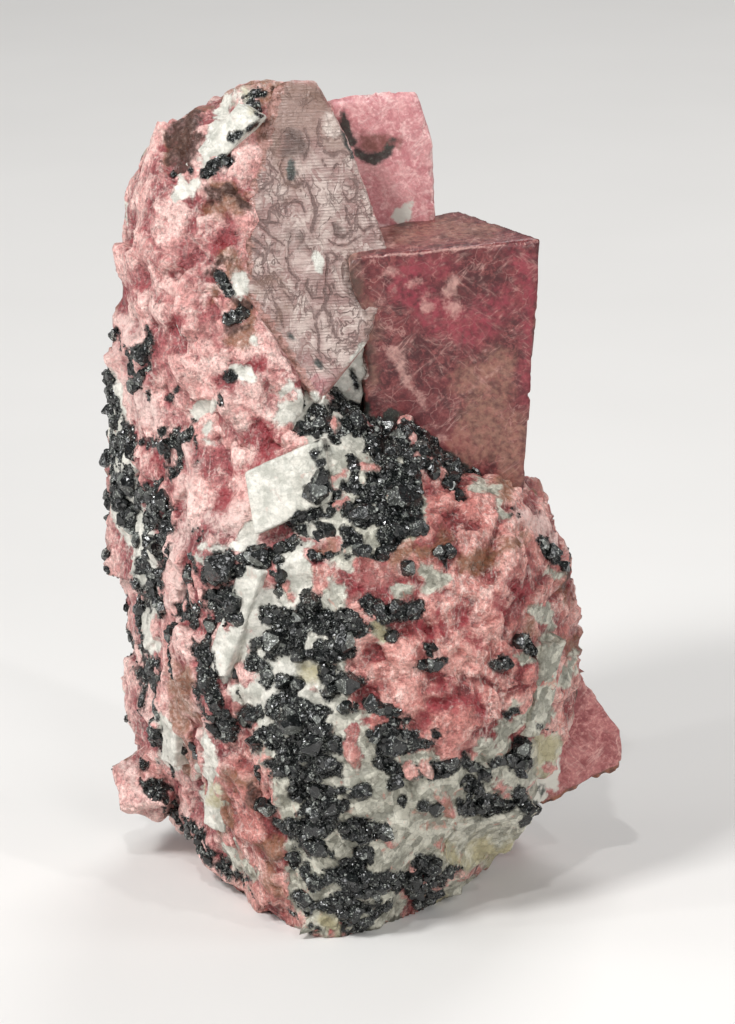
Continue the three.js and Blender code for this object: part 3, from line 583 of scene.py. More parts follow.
@dataclass(frozen=True)
class Skin:
    """The vertices and quads of a closed mesh, in millimetres."""

    points: np.ndarray
    quads: np.ndarray

    def normals(self) -> np.ndarray:
        """Each vertex's way out: the sum of the crossed diagonals of the quads round it."""
        a, b, c, d = (self.points[self.quads[:, n]] for n in range(4))
        across = np.cross(c - a, d - b)
        total = np.zeros_like(self.points)
        for corner, axis in product(range(4), range(3)):
            total[:, axis] += np.bincount(
                self.quads[:, corner], weights=across[:, axis], minlength=len(total)
            )
        return total / np.maximum(np.linalg.norm(total, axis=1, keepdims=True), TINY)

    def ways(self) -> np.ndarray:
        """Each vertex's way out of the middle, of length 1."""
        return self.points / np.linalg.norm(self.points, axis=1, keepdims=True)

    @staticmethod
    def box(lines: Sequence[np.ndarray]) -> "Skin":
        """The skin of a box. Each of its six faces is a grid of two of the three sets of lines.

        Args:
            lines: Where the grid lines lie along x, y and z.

        Returns:
            The box, with the corners and edges of its faces shared.
        """
        counts = tuple(len(line) for line in lines)
        faces = []
        for axis, last in product(range(3), (False, True)):
            one, two = (axis + 1) % 3, (axis + 2) % 3
            index = np.zeros((3, counts[one], counts[two]), dtype=np.int64)
            index[one], index[two] = np.indices((counts[one], counts[two]))
            index[axis] = counts[axis] - 1 if last else 0
            key = (index[0] * counts[1] + index[1]) * counts[2] + index[2]
            around = (key[:-1, :-1], key[1:, :-1], key[1:, 1:], key[:-1, 1:])
            face = np.stack(around, axis=-1).reshape(-1, 4)
            faces.append(face if last else face[:, ::-1])
        keys, quads = np.unique(np.concatenate(faces), return_inverse=True)
        i, j, k = np.unravel_index(keys, counts)
        points = np.stack([lines[0][i], lines[1][j], lines[2][k]], axis=1)
        return Skin(points, quads.reshape(-1, 4))


def mesh_object(name: str, points: np.ndarray, faces: np.ndarray, flat: bool) -> bpy.types.Object:
    """A mesh object from arrays.

    Args:
        name: The object's name.
        points: Vertices, in millimetres.
        faces: One row of vertex numbers for each face, all of one length.
        flat: Whether its faces are shaded flat.

    Returns:
        The object, linked to the scene.
    """
    mesh = bpy.data.meshes.new(name)
    count, sides = faces.shape
    mesh.vertices.add(len(points))
    mesh.vertices.foreach_set("co", (points * METRES).astype(np.float32).ravel())
    mesh.loops.add(count * sides)
    mesh.loops.foreach_set("vertex_index", faces.astype(np.int32).ravel())
    mesh.polygons.add(count)
    mesh.polygons.foreach_set("loop_start", np.arange(0, count * sides, sides, dtype=np.int32))
    mesh.update(calc_edges=True)
    mesh.polygons.foreach_set("use_smooth", np.full(count, not flat))
    return linked(name, mesh)


def linked(name: str, data: bpy.types.ID, place: Any = (0, 0, 0), way: Any = None) -> bpy.types.Object:
    """Puts an object in the scene.

    Args:
        name: Its name.
        data: Its mesh, light or camera.
        place: Where it stands, in millimetres.
        way: Which way it looks, if it is aimed.

    Returns:
        The object.
    """
    made = bpy.data.objects.new(name, data)
    bpy.context.collection.objects.link(made)
    made.location = np.multiply(place, METRES)
    if way is not None:
        made.rotation_mode = "QUATERNION"
        made.rotation_quaternion = Vector(way).to_track_quat("-Z", "Y")
    return made


def set_attribute(
    made: bpy.types.Object, name: str, values: np.ndarray, domain: str = "POINT"
) -> None:
    """Writes one number for each vertex, or for each face, under a name that materials read."""
    layer = made.data.attributes.new(name, "FLOAT", domain)
    layer.data.foreach_set("value", values.astype(np.float32))


def set_facies(made: bpy.types.Object, where: dict[Facies, np.ndarray]) -> None:
    """Writes each facies' distances as a share: 0.5 at its edge, and 1 deep inside."""
    for facies, distance in where.items():
        set_attribute(made, facies.value, 0.5 - distance / (2 * EDGE_REACH))


def settle(made: bpy.types.Object, material: bpy.types.Material) -> None:
    """Gives a finished piece its material and its place in the frame, and reports it."""
    made.data.materials.append(material)
    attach(made, "root")
    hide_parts(NODE)
    LOG.info("%s: %d faces", made.name, len(made.data.polygons))


class Painter:
    """Knows where each facies lies: from the strokes on the seen side, and by chance elsewhere."""

    # Where a face turns away from the camera, its patches pass from strokes to chance: the
    # least and greatest cosine between its way out and the way to the camera.
    SEEN_FROM, SEEN_FULLY = 0.02, 0.2
    # Chance patches: the sizes of a facies' two lumps, its threshold and salt.
    CHANCE = {
        Facies.BLACK: (7.0, 2.6, 0.20, 41),
        Facies.WHITE: (8.0, 3.5, 0.24, 47),
        Facies.SAND: (7.0, 3.0, 0.50, 53),
        Facies.STAIN: (9.0, 3.0, 0.24, 59),
        Facies.UMBER: (6.0, 2.2, 0.42, 73),
        Facies.DEEP: (5.0, 2.5, 0.36, 61),
        Facies.PALE: (8.0, 4.0, 0.14, 67),
    }
    # The shares of the two lumps, and the millimetres of distance for one unit of them.
    WIDE_SHARE, NARROW_SHARE = 0.6, 0.4
    CHANCE_SLOPE = 4.0
    # By chance, black is more usual on the left flank, and rare high up and at the far right:
    # between which -x, z and -z the flank lies, where it gets bare, and how much that counts.
    FLANK, LEFT_GAIN = ((14, 22), (8, 18), (-62, -54)), 0.16
    HIGH, FAR_RIGHT, BARE_LOSS, RIGHT_BARE = (56, 62), (10, 17), 0.9, 0.4
    # How far each facies' edge strays from its strokes, in millimetres.
    RAGGED = {
        Facies.BLACK: 0.4,
        Facies.WHITE: 0.8,
        Facies.SAND: 0.8,
        Facies.STAIN: 1.0,
        Facies.UMBER: 0.8,
        Facies.DEEP: 0.7,
        Facies.PALE: 1.1,
        Facies.ROSE: 0.5,
        Facies.OUTLINE: 0.05,
    }
    # How far an edge strays with lumps of 2.4 and of 1 mm. Each facies has two salts from 201 on.
    STRAYS = ((0.6, 2.4), (0.4, 1.0))
    STRAY_SALT = 201
    # How far strokes waver, in the photograph's pixels, and over which span in millimetres.
    WAVER, WAVER_SPAN, WAVER_SALTS = 3.0, 1.5, (301, 303)
    # Gaps between black crystals: their slope and lumps, their threshold, and its drop on the
    # left, between which -x.
    GAP_SLOPE, GAP_LUMPS, GAP_FROM = 1.6, Layer(1, 1.3, 91), 0.58
    GAP_LEFT, GAP_SIDE = 0.36, (12, 20)
    # The facies that rhodonite grains stand through.
    PIERCED = (Facies.BLACK, Facies.WHITE, Facies.SAND)

    @staticmethod
    def seen(points: np.ndarray) -> np.ndarray:
        """Where points show in the photograph, in its pixels, by the camera's perspective."""
        offset = points - TARGET
        scale = DISTANCE / (DISTANCE - offset @ TOWARDS_CAMERA) / PIXEL
        across = PHOTO_WIDTH / 2 + offset[:, 0] * scale
        down = PHOTO_HEIGHT / 2 - (offset @ CAMERA_UP) * scale
        return np.stack([across, down], axis=1)

    @staticmethod
    def stroke_distance(spots: np.ndarray, stroke: np.ndarray) -> np.ndarray:
        """Distance from a stroke's edge, in pixels, below 0 inside.

        It is the least over the stroke's stretches of the distance to the stretch, less its
        half-width there.
        """
        best = np.full(len(spots), np.inf)
        for start, end in zip(stroke, stroke[1:]):
            origin, along = start[:2], end[:2] - start[:2]
            part = np.clip((spots - origin) @ along / (along @ along), 0, 1)
            gap = np.linalg.norm(spots - origin - part[:, None] * along, axis=1)
            best = np.minimum(best, gap - start[2] - part * (end[2] - start[2]))
        return best

    def painted(self, spots: np.ndarray, facies: Facies) -> np.ndarray:
        """Distance from the edge of a facies' strokes, in millimetres, below 0 inside."""
        margin = 2 * EDGE_REACH / PIXEL
        best = np.full(len(spots), margin)
        for stroke in PATCHES[facies]:
            rows = np.array(stroke, dtype=float).reshape(-1, 3)
            widest = rows[:, 2].max() + margin
            low, high = rows[:, :2].min(axis=0) - widest, rows[:, :2].max(axis=0) + widest
            near = np.flatnonzero(((spots > low) & (spots < high)).all(axis=1))
            if len(near):
                best[near] = np.minimum(best[near], self.stroke_distance(spots[near], rows))
        return best * PIXEL

    def by_chance(self, points: np.ndarray, facies: Facies) -> np.ndarray:
        """Distance from the edge of chance patches: (threshold - lumps of two sizes) * slope."""
        if facies not in self.CHANCE:
            return np.full(len(points), EDGE_REACH)
        wide, narrow, threshold, salt = self.CHANCE[facies]
        share = Layer(self.WIDE_SHARE, wide, salt).lumps(points)
        share += Layer(self.NARROW_SHARE, narrow, salt + 1).lumps(points)
        if facies is Facies.BLACK:
            x, _, z = points.T
            left = np.prod([smooth(v, *ends) for v, ends in zip((-x, z, -z), self.FLANK)], axis=0)
            bare = smooth(z, *self.HIGH) + self.RIGHT_BARE * smooth(x, *self.FAR_RIGHT)
            share += self.LEFT_GAIN * left - self.BARE_LOSS * np.minimum(bare, 1)
        return (threshold - share) * self.CHANCE_SLOPE

    def gaps(self, points: np.ndarray) -> np.ndarray:
        """Gaps between black crystals, more of them on the left, as a distance below 0 in the black.

        It is slope * (lumps - threshold + its drop on the left).
        """
        left = smooth(-points[:, 0], *self.GAP_SIDE)
        return self.GAP_SLOPE * (self.GAP_LUMPS.lumps(points) - self.GAP_FROM + self.GAP_LEFT * left)

    def distances(
        self, points: np.ndarray, normals: np.ndarray, clean: bool = False
    ) -> dict[Facies, np.ndarray]:
        """Distance from each facies' edge, in millimetres, below 0 inside.

        Strokes hold on the seen side and chance patches elsewhere. Either edge strays by lumps of
        two spans, times the facies' own measure.

        Args:
            points: Places on the surface.
            normals: The surface's ways out there.
            clean: Whether other minerals keep off its unseen sides.

        Returns:
            One array for each facies.
        """
        wavers = [lumps(points / self.WAVER_SPAN, salt) for salt in self.WAVER_SALTS]
        spots = self.seen(points) + self.WAVER * np.stack(wavers, axis=1)
        shown = smooth(normals @ TOWARDS_CAMERA, self.SEEN_FROM, self.SEEN_FULLY)
        found = {}
        for number, facies in enumerate(Facies):
            salt = self.STRAY_SALT + len(self.STRAYS) * number
            stray = sum(
                Layer(share, span, salt + n).lumps(points)
                for n, (share, span) in enumerate(self.STRAYS)
            )
            painted = self.painted(spots, facies)
            chance = self.by_chance(points, facies)
            if clean and facies in self.PIERCED:
                chance = np.full(len(points), EDGE_REACH)
            distance = shown * painted + (1 - shown) * chance
            found[facies] = distance + self.RAGGED[facies] * stray
        for facies in self.PIERCED:
            found[facies] = np.maximum(found[facies], -found[Facies.ROSE])
        found[Facies.BLACK] = np.maximum(found[Facies.BLACK], self.gaps(points))
        return {facies: np.clip(d, -EDGE_REACH, EDGE_REACH) for facies, d in found.items()}


@dataclass(frozen=True)
class RoughMass:
    """A rough mass of the stone, as the corners of its broken planes, seen from its own centre."""

    name: str
    centre: Triple
    corners: tuple[Triple, ...]
    # The mesh's grid spacing across the front, and how its depth's lines crowd to the front.
    spacing: float
    depth_spacing: float
    crowding: float = 1.3
    # How the rhodonite's own chips are stretched along x, y and z, and how rough they are.
    grain: Triple = (1.0, 1.0, 1.0)
    roughness: float = 1.0
    # How much of the stone's wide relief it has.
    relief: float = 1.0

    # The fine relief's broken planes, as spans in millimetres and salts, and its soft grains.
    BLOCKS, SMALL, KNOTS = (3.4, 17), (1.7, 23), (1.6, 71)
    GRAINS = (Layer(0.7, 1.1, 31), Layer(0.3, 0.7, 33))
    # How high blocks, small blocks, knots and grains stand: in rhodonite, calcite and franklinite.
    HEIGHTS = ((0.75, 0.5, 0, 0.14), (0.4, 0.3, 0, 0.08), (0.3, 0, 0.42, 0.2))
    # How far red depths are sunk, and how far franklinite and salmon grains stand up.
    SUNK, BLACK_RAISED, ROSE_RAISED = 0.4, 0.1, 0.3
    # Between which depths inside its edge, in millimetres, a facies' relief comes up.
    FADES = {
        Facies.DEEP: (-0.6, 0.8),
        Facies.WHITE: (-0.3, 0.4),
        Facies.BLACK: (-0.2, 0.4),
        Facies.ROSE: (-0.3, 0.5),
    }
    # The blocks' share of the tone. The rest is the small blocks'.
    BLOCK_TONE = 0.6

    def planes(self) -> Planes:
        """The planes round the mass."""
        return Planes.round(self.centre, self.corners, ROUGH_CRISPNESS)

    def grid(self) -> Skin:
        """A box grid of the mass's own size, with more lines near the front."""
        size = np.ptp(np.array(self.corners), axis=0)
        lines = []
        for axis, length in enumerate(size):
            spacing = self.depth_spacing if axis == 1 else self.spacing
            part = np.linspace(0, 1, round(length / spacing) + 1)
            lines.append(length * ((part**self.crowding if axis == 1 else part) - 0.5))
        return Skin.box(lines)

    def surface(self) -> tuple[Skin, np.ndarray]:
        """The mass's broken surface before its fine relief.

        Along each way out of the centre the surface lies at the planes' blended reach, plus the
        stone's relief, and never lower than the floor.

        Returns:
            The skin, and each vertex's way out of the centre.
        """
        grid = self.grid()
        ways = grid.ways()
        points = self.planes().surface(ways, SWELL)
        points += ways * self.relief * stone_relief(points)[:, None]
        return Skin(self.floored(points, ways), grid.quads), ways

    def floored(self, points: np.ndarray, ways: np.ndarray) -> np.ndarray:
        """Pulls what lies under the floor back along its way to z = 0."""
        low = points[:, 2] < 0
        points = points.copy()
        points[low] = np.array(self.centre) - ways[low] * (self.centre[2] / ways[low, 2])[:, None]
        points[low, 2] = 0
        return points

    def fine_relief(
        self, points: np.ndarray, where: dict[Facies, np.ndarray]
    ) -> tuple[np.ndarray, np.ndarray]:
        """The fine relief of each facies, blended by how deep a point lies in its patch.

        Each mineral's height is the sum of blocks, small blocks, knots and grains, each times the
        mineral's own weight. Red depths are sunk.

        Args:
            points: Places on the surface.
            where: Each facies' distances there.

        Returns:
            The height, and a number for each block's own tone.
        """
        grain = np.array(self.grain)
        (blocks, block_tone), (small, small_tone) = (
            facets(points / (span * grain), salt) for span, salt in (self.BLOCKS, self.SMALL)
        )
        knots, _ = facets(points / self.KNOTS[0], self.KNOTS[1])
        grains = sum(layer.lumps(points) for layer in self.GRAINS)
        pink, white, black = np.array(self.HEIGHTS) @ np.stack([blocks, small, knots, grains])
        depth = {facies: smooth(-where[facies], *fade) for facies, fade in self.FADES.items()}
        height = self.roughness * pink - self.SUNK * depth[Facies.DEEP]
        height += (white - height) * depth[Facies.WHITE]
        height += (black + self.BLACK_RAISED - height) * depth[Facies.BLACK]
        height += self.ROSE_RAISED * depth[Facies.ROSE]
        return height, self.BLOCK_TONE * block_tone + (1 - self.BLOCK_TONE) * small_tone

    def build(self, painter: Painter) -> bpy.types.Object:
        """Builds the mass with its fine relief and the attributes that its material reads."""
        skin, ways = self.surface()
        where = painter.distances(skin.points, skin.normals())
        height, tone = self.fine_relief(skin.points, where)
        points = self.floored(skin.points + ways * height[:, None], ways)
        made = mesh_object(self.name, points, skin.quads, flat=False)
        set_stone(made, skin.points, where, tone, height)
        return made


def set_stone(
    made: bpy.types.Object,
    points: np.ndarray,
    where: dict[Facies, np.ndarray],
    tone: np.ndarray,
    height: np.ndarray,
) -> None:
    """Writes what the stone's material reads: each facies, tone, salmon, and how deep the fine relief
    lies, which the material darkens as painted shade in hollows.

    Args:
        made: The piece.
        points: Its vertices, before their fine relief.
        where: Each facies' distances there.
        tone: Each vertex's own tone, from 0 to 1.
        height: Its fine relief.
    """
    set_facies(made, where)
    set_attribute(made, "tone", tone)
    set_attribute(made, "hollow_shade", np.clip(0.5 - height, 0, 1))
    set_attribute(made, "salmon", salmon_share(points))


# Rhodonite turns to salmon between these x and below these z, in millimetres: in the front
# boulder, and in the foot.
SALMON = (((-10, 2), (-58, -48)), ((-17, -12), (-30, -16)))


def salmon_share(points: np.ndarray) -> np.ndarray:
    """How far rhodonite leans to salmon: 1 in the front boulder and the foot, 0 in the rest."""
    x, _, z = points.T
    return np.maximum(*(smooth(x, *across) * smooth(-z, *down) for across, down in SALMON))


ROUGH_MASSES = (
    RoughMass(
        name="upper_mass",
        centre=(-11, 5, 62),
        corners=(
            (-7.5, 5, 87), (-12.5, 4, 86.5), (-18, 4, 84.5), (-22, 5, 79.5), (-25.5, 6, 74.5),
            (-26.5, 6, 69), (-27, 5, 66.5), (-25.5, 4, 62.5), (-26, 5, 58), (-26.5, 6, 44),
            (-20, -2, 81), (-22, -5, 72), (-18.5, -9, 62.5), (-12.5, -9.5, 64), (-11.5, -2.5, 81),
            (-9, 1, 86), (-13, -6.5, 73.5), (-3.5, 6, 84), (-3.5, 0, 73.5), (-13.5, -8, 48.5),
            (-22, -4, 46), (-18, 17, 50), (-18, 16, 76), (-5, 18, 80), (2, 17, 60), (-8, 14, 84),
            (0, 15, 50),
        ),
        spacing=0.36,
        depth_spacing=0.55,
        grain=(1.0, 1.0, 1.4),
        roughness=0.85,
    ),
    RoughMass(
        name="collar",
        centre=(-11, -3, 60),
        corners=(
            (-12.5, -8.4, 68.5), (-6.2, -11, 58), (-15.5, -8.7, 64), (-14.5, -10.2, 57), (-8, -10.9, 52),
            (-13, -9.7, 49), (-17, -6, 66), (-17.5, -6.5, 53), (-12, 4, 70), (-5, 3, 60), (-16, 4, 50),
            (-8, 4, 48), (-14, -4, 71),
        ),
        spacing=0.34,
        depth_spacing=0.6,
        roughness=0.7,
    ),
    RoughMass(
        name="waist",
        centre=(-10, 3, 38),
        corners=(
            (-26.5, 6, 57.5), (-27.5, 8, 53.5), (-27.5, 8, 45.5), (-27, 8, 39.5), (-26, 8, 36.5),
            (-25, 8, 33), (-24, 8, 23), (-23.5, 8, 17.5), (-20.5, -2, 59), (-18.5, -8, 54),
            (-17, -12, 40), (-18, -11, 31), (-6.5, -12, 48.5), (-3.5, -10, 54.5), (6, -6, 30),
            (-21, 18, 30), (-20, 15, 59), (3, 14, 59), (8, 19, 30),
        ),
        spacing=0.37,
        depth_spacing=0.55,
        grain=(0.9, 0.9, 1.5),
    ),
    RoughMass(
        name="left_foot",
        centre=(-8, 3, 18),
        corners=(
            (-24, 8, 28.5), (-24, 9, 17), (-24.5, 9, 12), (-25.5, 10, 8), (-24, 10, 5),
            (-18, 8, 0.5), (-17.5, -11, 37.5), (-17.5, -13, 25), (-14.5, -11, 13), (-10, -9, 3.5),
            (-6.5, -14, 36), (2, -16, 20), (6, -8, -2), (-4, -18, -2), (-12, -1, -2),
            (-16, 12, -2), (5, 17, -2), (-20, 18, 8), (-20, 17, 30), (8, 18, 30),
        ),
        spacing=0.38,
        depth_spacing=0.55,
    ),
    RoughMass(
        name="front_boulder",
        centre=(5, -3, 26),
        corners=(
            (-6.5, -10, 54.5), (-3, -9, 56), (1, -8, 55), (9, -8, 49.3), (17, -6, 44),
            (20.5, -5, 40), (23, -2, 33), (24, 0, 28.5), (24, 0, 26), (22.5, 2, 20.5),
            (21, 2, 17), (21, 3, 11), (19.5, 4, 6), (15.5, 5, 1), (-1.5, -17, 47),
            (7, -16, 46.5), (14, -15, 41), (19, -12, 33.5), (19.5, -11, 24), (17.5, -9, 14.5),
            (11, -19, 25), (4, -20, 38.5), (-3.5, -21, 34.5), (-3.5, -22, 21.5), (6, -20, 16.5),
            (-14.5, -12, 40), (-13.5, -16, 28), (-10.5, -16, 15), (-4, -18, -2), (7.5, -7, -2),
            (12.5, 5, -2), (14, 12, -2), (-4, 14, -2), (20, 14, 12), (22, 12, 30), (16, 14, 42),
            (-2, 12, 50),
        ),
        spacing=0.34,
        depth_spacing=0.65,
    ),
    RoughMass(
        name="back_mass",
        centre=(-8, 9, 42),
        corners=(
            (-23, 11, 68), (-25, 12, 47), (-22, 13, 20), (-17, 12, -2), (1, 12, 77), (7, 13, 52),
            (15, 12, 26), (12, 11, -2), (-14, 19, 64), (-6, 18.5, 77), (-3, 21, 50),
            (-13, 20, 28), (6, 19, 22), (-4, 17, -2), (-14, 3, 70), (-16, 2, 20), (6, 2, 24),
        ),
        spacing=0.5,
        depth_spacing=0.6,
        crowding=1.0,
        grain=(1.1, 1.0, 1.2),
    ),
    RoughMass(
        name="left_lump",
        centre=(-22.5, 7, 9),
        corners=(
            (-27, 7, 10), (-26, 4, 7), (-25.5, 4, 12), (-21, 1, 8), (-22, 6, 4), (-22, 7, 14),
            (-16, 9, 9), (-22, 12, 10),
        ),
        spacing=0.32,
        depth_spacing=0.36,
        crowding=1.0,
        roughness=0.6,
        relief=0.4,
    ),
)


@dataclass(frozen=True)
class FlatCrystal:
    """A rhodonite crystal with flat faces, each [azimuth, elevation, distance from the centre]."""

    name: str
    centre: Triple
    faces: tuple[Triple, ...]
    # Half of the box that its grid starts from, and the grid's spacing across and in depth.
    half: Triple
    spacing: float
    depth_spacing: float
    # How far its faces wave, and how deep its edges are chipped.
    wave: float
    chips: float
    # The faces, by number, beside which it is rough and grown over, and how wide that margin is.
    rough_sides: tuple[int, ...] = ()
    margin: float = 3.0

    # Its waves: their share of its own measure, their span in millimetres, and their salt.
    WAVES = ((1.0, 4, 79), (0.5, 1.3, 81))
    # The width of its chipped rim, and how far chips reach past the hollows of its grit.
    RIM, CHIPPED = 1.1, 0.1
    # Its grit, as span and salt, and how far grit and breaks stand up from its sunk margin.
    GRIT, GRIT_HEIGHT = (1.2, 83), 0.35
    BREAKS, MARGIN_DEPTH = Layer(0.5, 2.6, 101), 0.5
    # Between which shares of its reach a point comes to lie on the first face.
    ON_FIRST = (0.985, 1.0)

    def planes(self) -> Planes:
        """The planes round the crystal."""
        return Planes.of_faces(self.centre, self.faces, CRYSTAL_CRISPNESS)

    def build(self, painter: Painter) -> bpy.types.Object:
        """Builds the crystal: a box grid let out to the planes, with soft waves and chipped edges.

        Attributes tell how near a point is to an edge, how far it is overgrown, and how far it
        lies on the first face, which may have a finish of its own.
        """
        spacings = (self.spacing, self.depth_spacing, self.spacing)
        grid = Skin.box([np.linspace(-h, h, round(2 * h / s) + 1) for h, s in zip(self.half, spacings)])
        ways = grid.ways()
        planes = self.planes()
        points = planes.surface(ways)
        reach, shares = planes.reach(ways), planes.shares(ways)
        *_, next_most, most = np.sort(shares, axis=1).T
        rim = 1 - smooth((1 - next_most / most) * reach, 0, self.RIM)
        grit, tone = facets(points / self.GRIT[0], self.GRIT[1])
        height = sum(Layer(self.wave * part, *rest).lumps(points) for part, *rest in self.WAVES)
        height -= self.chips * rim * np.clip(grit + self.CHIPPED, 0, 1)
        grown = np.zeros(len(points))
        for side in self.rough_sides:
            gap = (1 - shares[:, side] / most) * reach
            grown = np.maximum(grown, 1 - smooth(gap, 0, self.margin))
        rough = self.GRIT_HEIGHT * grit + self.BREAKS.planes(points)
        height += grown * rough - self.MARGIN_DEPTH * grown**2
        skin = Skin(points + ways * height[:, None], grid.quads)
        made = mesh_object(self.name, skin.points, skin.quads, flat=False)
        set_facies(made, painter.distances(skin.points, skin.normals(), clean=True))
        set_attribute(made, "rim", rim)
        set_attribute(made, "overgrown", grown)
        set_attribute(made, "first", smooth(shares[:, 0] / most, *self.ON_FIRST))
        set_attribute(made, "tone", tone)
        return made


STRIATED = FlatCrystal(
    name="striated_crystal",
    centre=(-4, 2, 68),
    faces=(
        (10, 20, 7.5), (100, 27, 8), (100, 17, 6), (95, -18, 5.5), (75, -36, 9), (-80, -34, 9.25),
        (-85, 5, 9.75), (-80, 24, 12.75), (180, 70, 18), (180, 0, 9), (0, -90, 24),
    ),
    half=(9, 8, 20),
    spacing=0.2,
    depth_spacing=0.5,
    wave=0.05,
    chips=0.5,
    rough_sides=(5, 6, 7),
    margin=3.5,
)
REAR = FlatCrystal(
    name="rear_crystal",
    centre=(0, 11, 68),
    faces=(
        (-3, 3, 4.75), (96, 1, 7), (100, 16, 9.25), (-150, 66, 13.75), (180, 70, 14.5),
        (180, 0, 5), (-90, 0, 8), (0, -90, 20),
    ),
    half=(8, 5, 16),
    spacing=0.32,
    depth_spacing=0.45,
    wave=0.22,
    chips=1.1,
)
BLOCK = FlatCrystal(
    name="block_crystal",
    centre=(9, 1, 58),
    faces=(
        (8, 0, 6), (122, -3, 4.75), (-90, 86.6, 13.3), (-92, 0, 9.25), (-150, 0, 7), (180, 0, 9),
        (0, -90, 22),
    ),
    half=(9, 7.5, 18),
    spacing=0.3,
    depth_spacing=0.45,
    wave=0.05,
    chips=0.35,
    rough_sides=(3,),
    margin=2.2,
)
# The block's rounded corner, which laps over the striated face.
SHOULDER = FlatCrystal(
    name="block_shoulder",
    centre=(2.5, -2.5, 67.5),
    faces=(
        (25, 0, 2.61), (-90, -4, 3.76), (-90, -22, 3.32), (-60, -60, 5.3), (-90, 86.6, 3.4),
        (-90, 45, 4.75), (90, 0, 3), (180, 0, 3),
    ),
    half=(3, 3, 4),
    spacing=0.25,
    depth_spacing=0.4,
    wave=0.08,
    chips=0.3,
)
CORNER = FlatCrystal(
    name="corner_crystal",
    centre=(19, 7, 19),
    faces=(
        (15, 6, 5), (115, 32, 3.5), (100, 0, 8), (150, -60, 7.5), (180, 0, 6), (-90, 0, 8),
        (-45, 60, 9),
    ),
    half=(8, 6, 8),
    spacing=0.3,
    depth_spacing=0.4,
    wave=0.12,
    chips=0.9,
    rough_sides=(3,),
    margin=2.0,
)


@dataclass(frozen=True)
class Plate:
    """A cleavage plate that stands out of the stone."""

    middle: Triple
    # Its width, thickness and height.
    size: Triple
    # The azimuth and elevation that its broad side faces, and how far it is turned in its plane.
    azimuth: float
    elevation: float
    roll: float = 0.0
    # How far its faces are broken, from 0 to 1.
    broken: float = 1.0

    def axes(self) -> np.ndarray:
        """The ways of its width, its thickness and its height, one row each."""
        out = facing(self.azimuth, self.elevation)
        level = facing(self.azimuth + 90, 0)
        rise = np.cross(level, -out)
        roll = math.radians(self.roll)
        along = level * math.cos(roll) + rise * math.sin(roll)
        return np.stack([along, -out, rise * math.cos(roll) - level * math.sin(roll)])


@dataclass(frozen=True)
class CleavagePlates:
    """Plates that stand out of the stone, with its own facies over them."""

    plates: tuple[Plate, ...]
    # How far their sides lean, how far their grid lines lie apart, and how many there are at least.
    slant: float = 0.25
    spacing: float = 0.32
    least_lines: int = 4

    # Their steps: their spans along x, y and z, their salt, and how high they are. Then the finer
    # breaks, and how far all of it is sunk.
    STEPS, STEP_SALT, STEP_HEIGHT = (2.6, 2.6, 3.8), 89, 0.6
    BREAKS, SUNK = Layer(0.22, 1.2, 97), 0.2
    # The facies that keep off them.
    ABSENT = (Facies.DEEP, Facies.PALE, Facies.STAIN, Facies.UMBER, Facies.ROSE)

    def skin(self, plate: Plate) -> tuple[Skin, np.ndarray, np.ndarray]:
        """One plate: a box whose sides lean, with stepped faces.

        Args:
            plate: Its place and size.

        Returns:
            Its skin, its fine relief and each vertex's tone.
        """
        half = np.array(plate.size) / 2
        counts = [max(self.least_lines, round(2 * h / self.spacing)) + 1 for h in half]
        grid = Skin.box([np.linspace(-h, h, count) for h, count in zip(half, counts)])
        box = Planes(np.zeros(3), SIX_WAYS, np.tile(half, 2), ROUGH_CRISPNESS)
        local = box.surface(grid.ways())
        local[:, 0] += self.slant * local[:, 2]
        spread = local @ plate.axes()
        points = plate.middle + spread
        steps, tone = facets(points / self.STEPS, self.STEP_SALT)
        height = self.STEP_HEIGHT * steps + self.BREAKS.planes(points) - self.SUNK
        height *= plate.broken
        points += Skin(spread, grid.quads).ways() * height[:, None]
        points[:, 2] = np.maximum(points[:, 2], 0)
        return Skin(points, grid.quads), height, tone

    def build(self, painter: Painter) -> bpy.types.Object:
        """Builds all the plates as one piece."""
        skins, heights, tones = zip(*(self.skin(plate) for plate in self.plates))
        starts = np.cumsum([0] + [len(skin.points) for skin in skins])
        points = np.concatenate([skin.points for skin in skins])
        quads = np.concatenate([skin.quads + start for skin, start in zip(skins, starts)])
        made = mesh_object("calcite_plates", points, quads, flat=False)
        where = painter.distances(points, Skin(points, quads).normals())
        where.update(dict.fromkeys(self.ABSENT, np.full(len(points), EDGE_REACH)))
        where[Facies.WHITE] = np.full(len(points), -EDGE_REACH)
        set_stone(made, points, where, np.concatenate(tones), np.concatenate(heights))
        return made


